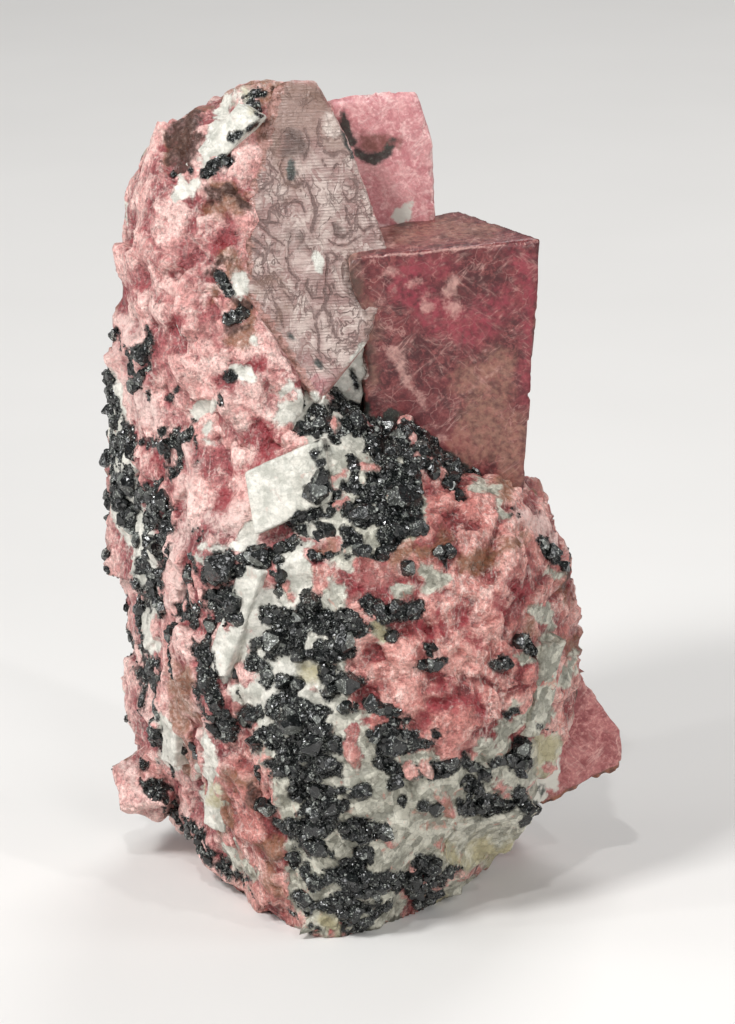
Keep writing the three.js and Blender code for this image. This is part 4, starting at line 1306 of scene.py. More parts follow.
CALCITE = CleavagePlates(
    plates=(
        Plate((-7.3, -12.9, 48.2), (9.0, 3.4, 6.4), -12, 16, roll=27, broken=0.1),
        Plate((-1.8, -4.3, 58), (4.6, 3, 12), 5, 0, broken=0.25),
        Plate((-6, -8.5, 55), (5, 3, 4.2), -15, 25, roll=20),
        Plate((-12.5, -13.3, 34), (3, 3, 13), -40, 5, roll=-6, broken=0.6),
        Plate((12, -9, 9), (10, 3, 7), 28, -30),
        Plate((8, -7, 3), (6, 3, 4), 30, -20),
        Plate((-4, -16.5, 2.5), (4, 3, 3.5), 0, 0),
        Plate((18.2, -9.6, 25), (3.4, 2.4, 10), 50, -5),
        Plate((-14, -1.7, 81.8), (2.8, 2.4, 8.5), -20, 14, roll=-24, broken=0.15),
        Plate((-14.5, -9, 13.5), (3.4, 3, 9), -45, -10, broken=0.5),
        Plate((-19.5, -3, 17), (3.2, 2.6, 6), -60, -5, broken=0.4),
        Plate((-11, -10.5, 7.5), (5, 3, 5), -35, -25),
        Plate((-20, 12, 52), (7, 3, 9), -140, 5),
        Plate((6, 17, 36), (8, 3, 11), 165, 5),
    ),
)


class Habit(Enum):
    """How a crystal's tips end: in points, cut back to the middle of its edges, or clipped."""

    SHARP = auto()
    BLUNT = auto()
    CLIPPED = auto()


@dataclass(frozen=True)
class GrainClass:
    """One size of franklinite crystals."""

    name: str
    # The cell that holds one crystal, how deep in the black it must lie, and its least and most reach.
    cell: float
    depth: float
    least: float
    most: float
    # The share of its reach that its centre stands above the surface.
    lift: float
    habit: Habit


@dataclass(frozen=True)
class Franklinite:
    """Black crystals scattered over the black patches, each an octahedron of its own habit."""

    classes: tuple[GrainClass, ...]
    # Crystals that stand out in the photograph: x and y in its pixels, and their reach.
    chosen: tuple[Triple, ...]
    # How far those are enlarged, and the share of its reach that each stands up.
    swell: float = 1.2
    lift: float = 0.2
    seed: int = 7
    variants: int = 6
    # How far out along an edge the tips are clipped: from a third to a sixth of it.
    least_clip: float = 2.0
    most_clip: float = 5.0

    # The least and most that a crystal is stretched along each of its axes.
    STRETCH = (0.65, 1.2)
    # Its size at a patch's edge, what it gains for each millimetre inside, and its size at most.
    EDGE_SIZE, GAIN, FULL_SIZE = 0.6, 0.5, 1
    # How many times its reach a crystal's middle stands above the floor, at least.
    CLEARANCE = 1.25

    def corners(self, habit: Habit, rng: np.random.Generator) -> np.ndarray:
        """The corners of a habit's crystals, each 1 from the middle.

        They are the six tips, or the ways (0, +-1, +-1) to (+-1, +-1, 0), or the ways with 0, 1
        and a clip in every order, with signs.

        Args:
            habit: The habit.
            rng: Where chance comes from.

        Returns:
            One set of corners for each variant.
        """
        if habit is Habit.SHARP:
            found = SIX_WAYS[None]
        else:
            ways = [np.roll((0, a, b), n) for n, a, b in product(range(3), (-1, 1), (-1, 1))]
            found = np.array(ways, dtype=float)[None]
        if habit is Habit.CLIPPED:
            clips = rng.uniform(self.least_clip, self.most_clip, (self.variants, 1, 1))
            first, second = (np.cumsum(found != 0, axis=2) == n for n in (1, 2))
            longer = [found * np.where(part & (found != 0), clips, 1) for part in (first, second)]
            found = np.concatenate(longer, axis=1)
        found = np.broadcast_to(found, (self.variants, *found.shape[1:]))
        return found / np.linalg.norm(found, axis=2, keepdims=True)

    def shapes(
        self, habit: Habit, rng: np.random.Generator
    ) -> tuple[np.ndarray, np.ndarray, np.ndarray]:
        """Crystals of reach 1 that share their triangles.

        Args:
            habit: How their tips end.
            rng: Where chance comes from.

        Returns:
            Corners for each variant, the triangles, and the crystal face that each belongs to.
        """
        corners = self.corners(habit, rng)
        ball = bmesh.new()
        for corner in corners[0]:
            ball.verts.new(corner)
        bmesh.ops.convex_hull(ball, input=ball.verts)
        bmesh.ops.triangulate(ball, faces=ball.faces)
        bmesh.ops.recalc_face_normals(ball, faces=ball.faces)
        ball.verts.index_update()
        triangles = np.array([[vert.index for vert in face.verts] for face in ball.faces])
        normals = np.array([face.normal for face in ball.faces])
        ball.free()
        _, sides = np.unique(np.round(normals, 2), axis=0, return_inverse=True)
        return corners, triangles, sides.ravel()

    @staticmethod
    def turns(rng: np.random.Generator, count: int) -> np.ndarray:
        """Random turns, evenly over all ways: the matrices of random unit quaternions."""
        turn = rng.normal(size=(4, count))
        w, x, y, z = turn / np.linalg.norm(turn, axis=0)
        rows = [
            [1 - 2 * (y * y + z * z), 2 * (x * y - z * w), 2 * (x * z + y * w)],
            [2 * (x * y + z * w), 1 - 2 * (x * x + z * z), 2 * (y * z - x * w)],
            [2 * (x * z - y * w), 2 * (y * z + x * w), 1 - 2 * (x * x + y * y)],
        ]
        return np.array(rows).transpose(2, 0, 1)

    def crystals(
        self,
        name: str,
        centres: np.ndarray,
        reach: np.ndarray,
        habit: Habit,
        rng: np.random.Generator,
    ) -> bpy.types.Object:
        """Makes one crystal at each centre, turned and stretched at random.

        Args:
            name: The piece's name.
            centres: Their middles, in millimetres.
            reach: How far each reaches.
            habit: How their tips end.
            rng: Where chance comes from.

        Returns:
            The crystals, as one piece, with a tone for each crystal face.
        """
        corners, triangles, sides = self.shapes(habit, rng)
        count = len(centres)
        local = corners[rng.integers(self.variants, size=count)]
        local = local * rng.uniform(*self.STRETCH, (count, 1, 3))
        points = np.einsum("nij,nvj->nvi", self.turns(rng, count), local)
        points = centres[:, None] + points * reach[:, None, None]
        faces = triangles[None] + (np.arange(count) * corners.shape[1])[:, None, None]
        made = mesh_object(name, points.reshape(-1, 3), faces.reshape(-1, 3), flat=True)
        tones = rng.uniform(size=(count, sides.max() + 1))[:, sides]
        set_attribute(made, "tone", tones.ravel(), "FACE")
        return made

    def scatter(self, size: GrainClass, ground: "Ground") -> bpy.types.Object:
        """Scatters one size of crystal: at most one to a cell of space.

        Args:
            size: Which crystals.
            ground: The outer surface that they grow on.

        Returns:
            The crystals, as one piece.
        """
        rng = np.random.default_rng(self.seed + round(10 * size.cell))
        order = rng.permutation(np.flatnonzero(ground.black < -size.depth))
        cells = np.floor(ground.points[order] / size.cell).astype(int)
        _, first = np.unique(cells, axis=0, return_index=True)
        spots = order[np.sort(first)]
        reach = rng.uniform(size.least, size.most, len(spots))
        size_there = self.EDGE_SIZE - self.GAIN * ground.black[spots]
        reach *= np.clip(size_there, self.EDGE_SIZE, self.FULL_SIZE)
        centres = ground.points[spots] + ground.normals[spots] * (size.lift * reach)[:, None]
        centres[:, 2] = np.maximum(centres[:, 2], self.CLEARANCE * reach)
        return self.crystals(size.name, centres, reach, size.habit, rng)

    def pick(self, ground: "Ground") -> bpy.types.Object:
        """Places the crystals that stand out in the photograph, each on the ground seen nearest there."""
        rng = np.random.default_rng(self.seed)
        front = ground.normals @ TOWARDS_CAMERA > Painter.SEEN_FULLY
        points = ground.points[front]
        spots = Painter.seen(points)
        rows = np.array(self.chosen)
        nearest = [np.argmin(np.linalg.norm(spots - row[:2], axis=1)) for row in rows]
        reach = self.swell * rows[:, 2]
        centres = points[nearest] + self.lift * ground.normals[front][nearest] * reach[:, None]
        return self.crystals("franklinite_chosen", centres, reach, Habit.CLIPPED, rng)


FRANKLINITE = Franklinite(
    classes=(
        GrainClass("franklinite_large", 1.8, 0.45, 0.62, 1.1, lift=-0.22, habit=Habit.CLIPPED),
        GrainClass("franklinite_medium", 1.1, 0.25, 0.34, 0.66, lift=-0.25, habit=Habit.BLUNT),
        GrainClass("franklinite_small", 0.66, -0.02, 0.17, 0.34, lift=-0.05, habit=Habit.SHARP),
    ),
    chosen=(
        (222, 567, 1.9), (262, 557, 1.3), (281, 574, 0.8), (313, 600, 1.1), (235, 603, 1.0),
        (240, 618, 0.8), (350, 683, 1.15), (330, 692, 0.9), (346, 707, 0.75), (371, 705, 0.8),
        (409, 569, 0.8), (447, 552, 0.8), (520, 745, 1.2), (549, 551, 1.0), (562, 566, 0.7),
        (393, 782, 0.75), (434, 806, 0.9), (517, 642, 0.7), (322, 478, 1.0), (318, 494, 1.3),
        (361, 514, 1.2), (283, 682, 1.0), (300, 683, 0.8), (320, 423, 1.0), (302, 430, 0.8),
        (356, 425, 1.0), (388, 430, 1.1), (404, 503, 1.4), (316, 847, 1.0), (360, 792, 1.0),
        (334, 806, 1.0), (268, 806, 0.9), (510, 760, 0.8), (385, 832, 0.9), (356, 835, 0.8),
        (431, 648, 0.5), (423, 665, 0.6), (173, 448, 0.8), (165, 500, 0.9), (290, 720, 1.5),
        (310, 745, 1.2), (275, 640, 1.2), (345, 640, 1.1), (300, 655, 1.1), (390, 740, 1.2),
    ),
)


@dataclass(frozen=True)
class Ground:
    """The outer surface of the masses, where black crystals can grow."""

    points: np.ndarray
    normals: np.ndarray
    black: np.ndarray

    # Crystals don't grow this low, where the stone rests, nor this far outside the black.
    LOWEST, OUTSIDE = 0.6, 0.3

    @staticmethod
    def read(rows: Any, name: str, width: int = 1) -> np.ndarray:
        """Reads one property of all rows of a mesh, as one row of numbers each.

        Args:
            rows: Its vertices, normals or values.
            name: The property's name.
            width: How many numbers it has.

        Returns:
            The numbers.
        """
        values = np.empty(len(rows) * width, dtype=np.float32)
        rows.foreach_get(name, values)
        return values.reshape(-1, width).astype(float)

    @staticmethod
    def of(made: Iterable[bpy.types.Object], solids: dict[str, Planes]) -> "Ground":
        """Reads finished pieces, and leaves out what lies inside another solid.

        Args:
            made: The pieces.
            solids: The planes of every mass and crystal, by name.

        Returns:
            The ground.
        """
        points, normals, black = [], [], []
        for piece in made:
            mesh = piece.data
            place = Ground.read(mesh.vertices, "co", 3) / METRES
            out = Ground.read(mesh.vertex_normals, "vector", 3)
            share = Ground.read(mesh.attributes[Facies.BLACK.value].data, "value")[:, 0]
            distance = (0.5 - share) * 2 * EDGE_REACH
            keep = (distance < Ground.OUTSIDE) & (place[:, 2] > Ground.LOWEST)
            place, out, distance = place[keep], out[keep], distance[keep]
            buried = np.zeros(len(place), dtype=bool)
            for name, planes in solids.items():
                if name != piece.name:
                    swell = SWELL if planes.crispness == ROUGH_CRISPNESS else 1.0
                    buried |= planes.holds(place, swell)
            points.append(place[~buried])
            normals.append(out[~buried])
            black.append(distance[~buried])
        return Ground(np.concatenate(points), np.concatenate(normals), np.concatenate(black))


class Value:
    """A number inside a material, which Python's own arithmetic extends by Math nodes."""

    def __init__(self, graph: "Graph", socket: bpy.types.NodeSocket) -> None:
        """Wraps a socket of a graph."""
        self.graph = graph
        self.socket = socket

    def __add__(self, other: Any) -> "Value":
        """Sum."""
        return self.graph.math("ADD", self, other)

    def __radd__(self, other: Any) -> "Value":
        """Sum, reflected."""
        return self.graph.math("ADD", other, self)

    def __sub__(self, other: Any) -> "Value":
        """Difference."""
        return self.graph.math("SUBTRACT", self, other)

    def __rsub__(self, other: Any) -> "Value":
        """Difference, reflected."""
        return self.graph.math("SUBTRACT", other, self)

    def __mul__(self, other: Any) -> "Value":
        """Product."""
        return self.graph.math("MULTIPLY", self, other)

    def __rmul__(self, other: Any) -> "Value":
        """Product, reflected."""
        return self.graph.math("MULTIPLY", other, self)

    def __abs__(self) -> "Value":
        """Size without sign."""
        return self.graph.math("ABSOLUTE", self)

    def fraction(self) -> "Value":
        """What is past the whole number below."""
        return self.graph.math("FRACT", self)

    def step(self, low: float, high: float) -> "Value":
        """A soft step from 0 at low to 1 at high, or the other way where low is the greater."""
        span = ("From Min", "From Max", "To Min", "To Max")
        ends = (low, high, 0.0, 1.0) if low < high else (high, low, 1.0, 0.0)
        made = self.graph.node(
            "ShaderNodeMapRange",
            {"interpolation_type": "SMOOTHSTEP"},
            {"Value": self, **dict(zip(span, ends))},
        )
        return Value(self.graph, made.outputs["Result"])


class Graph:
    """A material under construction."""

    # The colour sockets of a Mix node, which come after its number and vector ones.
    FACTOR, FIRST, SECOND, RESULT = 0, 6, 7, 2
    # How strong each finer layer of noise is.
    NOISE_ROUGHNESS = 0.6
    # How far cracks are bent, in cells, and by how many lumps of noise to a cell.
    BEND, BENDS = 0.9, {"Scale": 1.6, "Detail": 4.0}

    def __init__(self, name: str) -> None:
        """Starts an empty material."""
        self.material = bpy.data.materials.new(name)
        self.material.use_nodes = True
        self.tree = self.material.node_tree
        self.tree.nodes.clear()
        place = self.node("ShaderNodeTexCoord", {}, {}).outputs["Object"]
        self.spot = self.vector("MULTIPLY", place, (1 / METRES,) * 3)

    def node(
        self, kind: str, settings: dict[str, Any], sockets: dict[Any, Any]
    ) -> bpy.types.Node:
        """Any node.

        Args:
            kind: Its type.
            settings: Its own settings, set first.
            sockets: Values or links of its inputs, by name or number.

        Returns:
            The node.
        """
        made = self.tree.nodes.new(kind)
        for name, value in settings.items():
            setattr(made, name, value)
        for name, value in sockets.items():
            value = value.socket if isinstance(value, Value) else value
            if isinstance(value, bpy.types.NodeSocket):
                self.tree.links.new(value, made.inputs[name])
            else:
                made.inputs[name].default_value = value
        return made

    def math(self, operation: str, *values: Any) -> Value:
        """A Math node of numbers and values."""
        made = self.node("ShaderNodeMath", {"operation": operation}, dict(enumerate(values)))
        return Value(self, made.outputs[0])

    def cells(self, span: float, stretch: Triple = (1, 1, 1), turn: float = 0) -> bpy.types.NodeSocket:
        """The place, counted in cells.

        Args:
            span: The size of a cell, in millimetres.
            stretch: How far cells are drawn out along x, y and z.
            turn: How far they lean, in degrees about y.

        Returns:
            The place.
        """
        place = self.spot
        if turn:
            lean = (0, math.radians(turn), 0)
            place = self.node("ShaderNodeMapping", {}, {"Vector": place, "Rotation": lean}).outputs[0]
        return self.vector("MULTIPLY", place, tuple(1 / (span * s) for s in stretch))

    def voronoi(self, place: Any, **settings: Any) -> bpy.types.bpy_prop_collection:
        """The outputs of a node that parts space into cells round scattered seeds."""
        made = self.node("ShaderNodeTexVoronoi", settings, {"Vector": place, "Scale": 1.0})
        return made.outputs

    def attribute(self, name: str) -> Value:
        """A number that the mesh holds for each vertex or face."""
        made = self.node("ShaderNodeAttribute", {"attribute_name": name}, {})
        return Value(self, made.outputs["Fac"])

    def noise(
        self,
        span: float,
        detail: float = 3,
        stretch: Triple = (1, 1, 1),
        warp: float = 0,
        turn: float = 0,
    ) -> Value:
        """Smooth noise round 0.5.

        Args:
            span: The size of its lumps, in millimetres.
            detail: How many finer layers it has.
            stretch: How far lumps are drawn out along x, y and z.
            warp: How far they are twisted.
            turn: How far it leans, in degrees about y.

        Returns:
            The noise.
        """
        place = self.cells(span, stretch, turn)
        shape = {"Scale": 1.0, "Detail": detail, "Roughness": self.NOISE_ROUGHNESS, "Distortion": warp}
        made = self.node("ShaderNodeTexNoise", {}, {"Vector": place, **shape})
        return Value(self, made.outputs["Fac"])

    def chips(self, span: float) -> Value:
        """A number of its own for each cell of a span."""
        colour = self.voronoi(self.cells(span))["Color"]
        parted = self.node("ShaderNodeSeparateColor", {}, {"Color": colour})
        return Value(self, parted.outputs["Red"])

    def facets(self, span: float, stretch: Triple = (1, 1, 1)) -> Value:
        """Tilted planes, one to a cell, in millimetres: (place - seed) . (cell's colour - 0.5) * span.

        Args:
            span: The size of a cell, in millimetres.
            stretch: How far cells are drawn out along x, y and z.

        Returns:
            The height.
        """
        place = self.cells(span, stretch)
        cell = self.voronoi(place)
        away = self.vector("SUBTRACT", place, cell["Position"])
        tilt = self.vector("SUBTRACT", cell["Color"], (0.5, 0.5, 0.5))
        made = self.node("ShaderNodeVectorMath", {"operation": "DOT_PRODUCT"}, {0: away, 1: tilt})
        return Value(self, made.outputs["Value"]) * span

    def cracks(self, span: float, width: float) -> Value:
        """Thin crooked lines between cells: 1 on the line, and 0 past a width.

        Args:
            span: The size of a cell, in millimetres.
            width: Half of a line's width, in cells.

        Returns:
            The lines.
        """
        place = self.cells(span)
        sway = self.node("ShaderNodeTexNoise", {}, {"Vector": place, **self.BENDS})
        shift = self.vector("MULTIPLY", sway.outputs["Color"], (self.BEND,) * 3)
        edge = self.voronoi(self.vector("ADD", place, shift), feature="DISTANCE_TO_EDGE")
        return Value(self, edge["Distance"]).step(width, 0.0)

    def vector(self, operation: str, first: Any, second: Any) -> bpy.types.NodeSocket:
        """A Vector Math node of two vectors."""
        made = self.node("ShaderNodeVectorMath", {"operation": operation}, {0: first, 1: second})
        return made.outputs[0]

    def mask(self, facies: Facies, ragged: Value, sharpness: float = 10, stray: float = 0.55) -> Value:
        """Where a facies is: its attribute made ragged by noise, and cut at one half.

        Args:
            facies: Which facies.
            ragged: Noise round 0.5.
            sharpness: How sharp its edge is.
            stray: How far the noise moves its edge.

        Returns:
            A share from 0 to 1.
        """
        share = self.attribute(facies.value) + (ragged - 0.5) * stray
        half = 0.5 / sharpness
        return share.step(0.5 - half, 0.5 + half)

    def over(self, colour: Any, *layers: tuple[Any, Any]) -> Any:
        """A colour with others laid over it in turn, each given as its share and itself."""
        for share, other in layers:
            colour = self.mix(share, colour, other)
        return colour

    def mix(self, share: Any, first: Any, second: Any) -> bpy.types.NodeSocket:
        """A colour between two."""
        made = self.node(
            "ShaderNodeMix",
            {"data_type": "RGBA"},
            {self.FACTOR: share, self.FIRST: first, self.SECOND: second},
        )
        return made.outputs[self.RESULT]

    def shade(self, colour: Any, light: Value) -> bpy.types.NodeSocket:
        """A colour, made lighter or darker by a number."""
        made = self.node(
            "ShaderNodeVectorMath", {"operation": "SCALE"}, {0: colour, "Scale": light}
        )
        return made.outputs[0]

    def bump(self, height: Value) -> bpy.types.NodeSocket:
        """A normal from a height in millimetres."""
        made = self.node("ShaderNodeBump", {}, {"Height": height, "Distance": METRES})
        return made.outputs["Normal"]

    def finish(self, colour: Any, roughness: Any, normal: Any, **fixed: Any) -> bpy.types.Material:
        """Ends the material in its surface.

        Args:
            colour: Its base colour.
            roughness: Its roughness.
            normal: Its normal.
            fixed: Other sockets, which are the same all over, by name with _ for a space.

        Returns:
            The material.
        """
        sockets = {"Base Color": colour, "Roughness": roughness, "Normal": normal}
        sockets.update({name.replace("_", " "): value for name, value in fixed.items()})
        surface = self.node("ShaderNodeBsdfPrincipled", {}, sockets)
        self.node("ShaderNodeOutputMaterial", {}, {"Surface": surface.outputs["BSDF"]})
        return self.material


@dataclass(frozen=True)
class BlackMineral:
    """Franklinite's look: dark, with painted shade in small pits and small bright painted glints."""

    body: Colour = srgb(24, 27, 27)
    pit_shade: Colour = srgb(5, 6, 7)
    glint: Colour = srgb(172, 176, 168)

    def colour(self, graph: Graph, tone: Any) -> bpy.types.NodeSocket:
        """Its colour: darker in small pits as painted shade, with painted glints that come more often
        where a tone from 0 to 1 is high.
        """
        speck = graph.noise(0.2, 2)
        dapple = graph.noise(0.7, 4)
        colour = graph.mix(dapple.step(0.56, 0.38), self.body, self.pit_shade)
        # Painted glints: small bright specks laid into the colour.
        sheen = (speck * 0.7 + dapple * 0.3 + (tone - 0.5) * 0.14).step(0.59, 0.66)
        return graph.mix(sheen, colour, self.glint)

    def relief(self, graph: Graph) -> Value:
        """Its fine relief, in millimetres: broken facets of three sizes."""
        return graph.facets(1.1) * 0.7 + graph.facets(0.5) * 0.9 + graph.facets(0.25) * 0.7


@dataclass(frozen=True)
class StoneFinish:
    """Broken rhodonite with its calcite, franklinite and stains."""

    light: Colour = srgb(232, 190, 182)
    middle: Colour = srgb(208, 148, 142)
    deep: Colour = srgb(160, 76, 80)
    salmon_light: Colour = srgb(215, 159, 149)
    salmon_middle: Colour = srgb(190, 118, 110)
    salmon_deep: Colour = srgb(146, 60, 62)
    chalk: Colour = srgb(240, 218, 208)
    red: Colour = srgb(156, 54, 62)
    pale: Colour = srgb(236, 206, 198)
    brown: Colour = srgb(140, 92, 66)
    olive: Colour = srgb(112, 92, 62)
    umber: Colour = srgb(70, 44, 36)
    sand: Colour = srgb(174, 164, 128)
    white: Colour = srgb(226, 222, 212)
    grey: Colour = srgb(184, 183, 173)
    dull_white: Colour = srgb(196, 193, 176)
    dull_grey: Colour = srgb(132, 130, 115)
    fleck: Colour = srgb(196, 136, 120)
    mineral: BlackMineral = BlackMineral()

    def rhodonite(self, graph: Graph, salmon: Value) -> bpy.types.NodeSocket:
        """The pink itself: clouds and splinters of lighter and deeper tone, finely sugared, with painted
        shade in hollows of its relief and in small pits.
        """
        light = graph.mix(salmon, self.light, self.salmon_light)
        middle = graph.mix(salmon, self.middle, self.salmon_middle)
        deep = graph.mix(salmon, self.deep, self.salmon_deep)
        tone = graph.attribute("tone")
        cloud = graph.noise(6.0, 4)
        grain = graph.noise(1.3, 5, warp=0.7)
        sugar = graph.noise(0.36, 4)
        splinter = graph.noise(0.5, 3, stretch=(1, 1, 3.4), warp=0.9)
        chip = graph.chips(0.7)
        hollow_shade = graph.attribute("hollow_shade")
        lift = cloud * 0.5 + grain * 0.5 + (tone - 0.5) * 0.3 + (chip - 0.5) * 0.1
        # Painted shade: hollows of the fine relief lean to the deep colour, along with the grain's and
        # splinters' own deeper tone.
        sunk = hollow_shade * 0.5 + (1 - grain) * 0.5 + splinter * 0.25
        chalk = splinter.step(0.52, 0.62) * cloud.step(0.36, 0.6)
        healed = graph.cracks(1.5, 0.07) * grain.step(0.42, 0.58)
        colour = graph.over(
            middle,
            (lift.step(0.42, 0.64), light),
            (sunk.step(0.54, 0.82) * 0.95, deep),
            (chalk * 0.5, self.chalk),
            (healed * 0.4, self.chalk),
        )
        # Painted shade: darker at small pits, and where the fine relief lies in hollows.
        pit_shade = graph.noise(0.8, 3).step(0.40, 0.30) * 0.4
        dust = graph.noise(0.16, 2)
        fine = sugar * 1.8 + dust * 0.6
        return graph.shade(colour, fine - 0.22 + chip * 0.18 - hollow_shade * 0.36 - pit_shade)

    def calcite(self, graph: Graph, salmon: Value) -> bpy.types.NodeSocket:
        """Calcite: milky, grey where it is clear, dull low down, sandy, and flecked with pink."""
        milk = graph.noise(2.0, 5, warp=0.5)
        grain = graph.noise(0.5, 4)
        chip = graph.chips(1.1)
        share = (milk * 0.7 + grain * 0.3 + (chip - 0.5) * salmon * 0.3).step(0.38, 0.62)
        fleck = graph.noise(1.5, 5, warp=0.6).step(0.60, 0.68)
        sand = graph.mask(Facies.SAND, graph.noise(0.9, 4), 1.6, 0.9)
        colour = graph.over(
            graph.mix(share, self.grey, self.white),
            (salmon * 0.8, graph.mix(share, self.dull_grey, self.dull_white)),
            (fleck * (0.2 + salmon * 0.5), self.fleck),
            (sand * 0.9, self.sand),
        )
        seam = graph.cracks(1.3, 0.06) * (0.1 + salmon * 0.14)
        return graph.shade(colour, 0.86 + grain * 0.28 - seam)

    def painted(self, graph: Graph, colour: Any, ragged: Value) -> bpy.types.NodeSocket:
        """The soft marks over the pink: pale bands, red depths, brown stains and umber crusts."""
        fine = graph.noise(0.5, 4)
        splinter = graph.noise(0.7, 4, stretch=(1, 1, 2.4), warp=0.9)
        patchy = fine.step(0.3, 0.62)
        brown = graph.mix(fine.step(0.4, 0.6), self.olive, self.brown)
        return graph.over(
            colour,
            (graph.mask(Facies.PALE, ragged, 1.6, 0.9) * (0.3 + patchy * 0.55), self.pale),
            (graph.mask(Facies.DEEP, splinter, 2.2, 1.5) * (0.25 + patchy * 0.6), self.red),
            (graph.mask(Facies.STAIN, ragged, 1.8, 1.0) * (0.45 + patchy * 0.45), brown),
            (graph.mask(Facies.UMBER, ragged, 4, 0.6) * (0.7 + patchy * 0.28), self.umber),
        )

    def dress(self) -> bpy.types.Material:
        """Builds the material."""
        graph = Graph("broken_rhodonite")
        ragged = graph.noise(1.0, 5)
        rose = graph.mask(Facies.ROSE, ragged, 5)
        salmon = graph.math("MAXIMUM", graph.attribute("salmon"), rose)
        colour = self.painted(graph, self.rhodonite(graph, salmon), ragged)
        colour = graph.mix(rose * 0.22, colour, self.salmon_light)
        white = graph.mask(Facies.WHITE, ragged, 5, 0.8)
        white = graph.math("MAXIMUM", white, graph.mask(Facies.SAND, ragged, 4, 0.8))
        colour = graph.mix(white, colour, self.calcite(graph, salmon))
        black = graph.mask(Facies.BLACK, ragged, 7)
        colour = graph.mix(black, colour, self.mineral.colour(graph, graph.chips(0.8)))
        coarse, middle = graph.facets(1.2), graph.facets(0.55)
        sugar = graph.noise(0.3, 3)
        pink = coarse * 0.6 + middle * 0.85 + sugar * 0.32
        calcite = coarse * (0.35 + salmon * 0.65) + middle * (0.15 + salmon * 0.45) + sugar * 0.1
        relief = pink + (calcite - pink) * white
        relief = relief + (self.mineral.relief(graph) - relief) * black
        glint = graph.chips(0.5).step(0.86, 0.95)
        roughness = 0.53 + (sugar - 0.5) * 0.4 - white * 0.08 - black * 0.25 - glint * 0.25
        return graph.finish(colour, roughness, graph.bump(relief), Specular_IOR_Level=0.5)


@dataclass(frozen=True)
class FrankliniteFinish:
    """Black franklinite crystals: glossy faces, each with its own tone, and the faces of highest tone
    painted lighter as glints.
    """

    mineral: BlackMineral = BlackMineral()

    def dress(self) -> bpy.types.Material:
        """Builds the material."""
        graph = Graph("franklinite")
        tone = graph.attribute("tone")
        colour = self.mineral.colour(graph, tone)
        # Painted glints: faces of the highest tone are made lighter.
        colour = graph.mix(tone.step(0.86, 1.0) * 0.3, colour, self.mineral.glint)
        roughness = 0.08 + tone * 0.12 + graph.noise(0.5, 4) * 0.22
        relief = self.mineral.relief(graph) * 0.42
        return graph.finish(colour, roughness, graph.bump(relief), IOR=1.65)


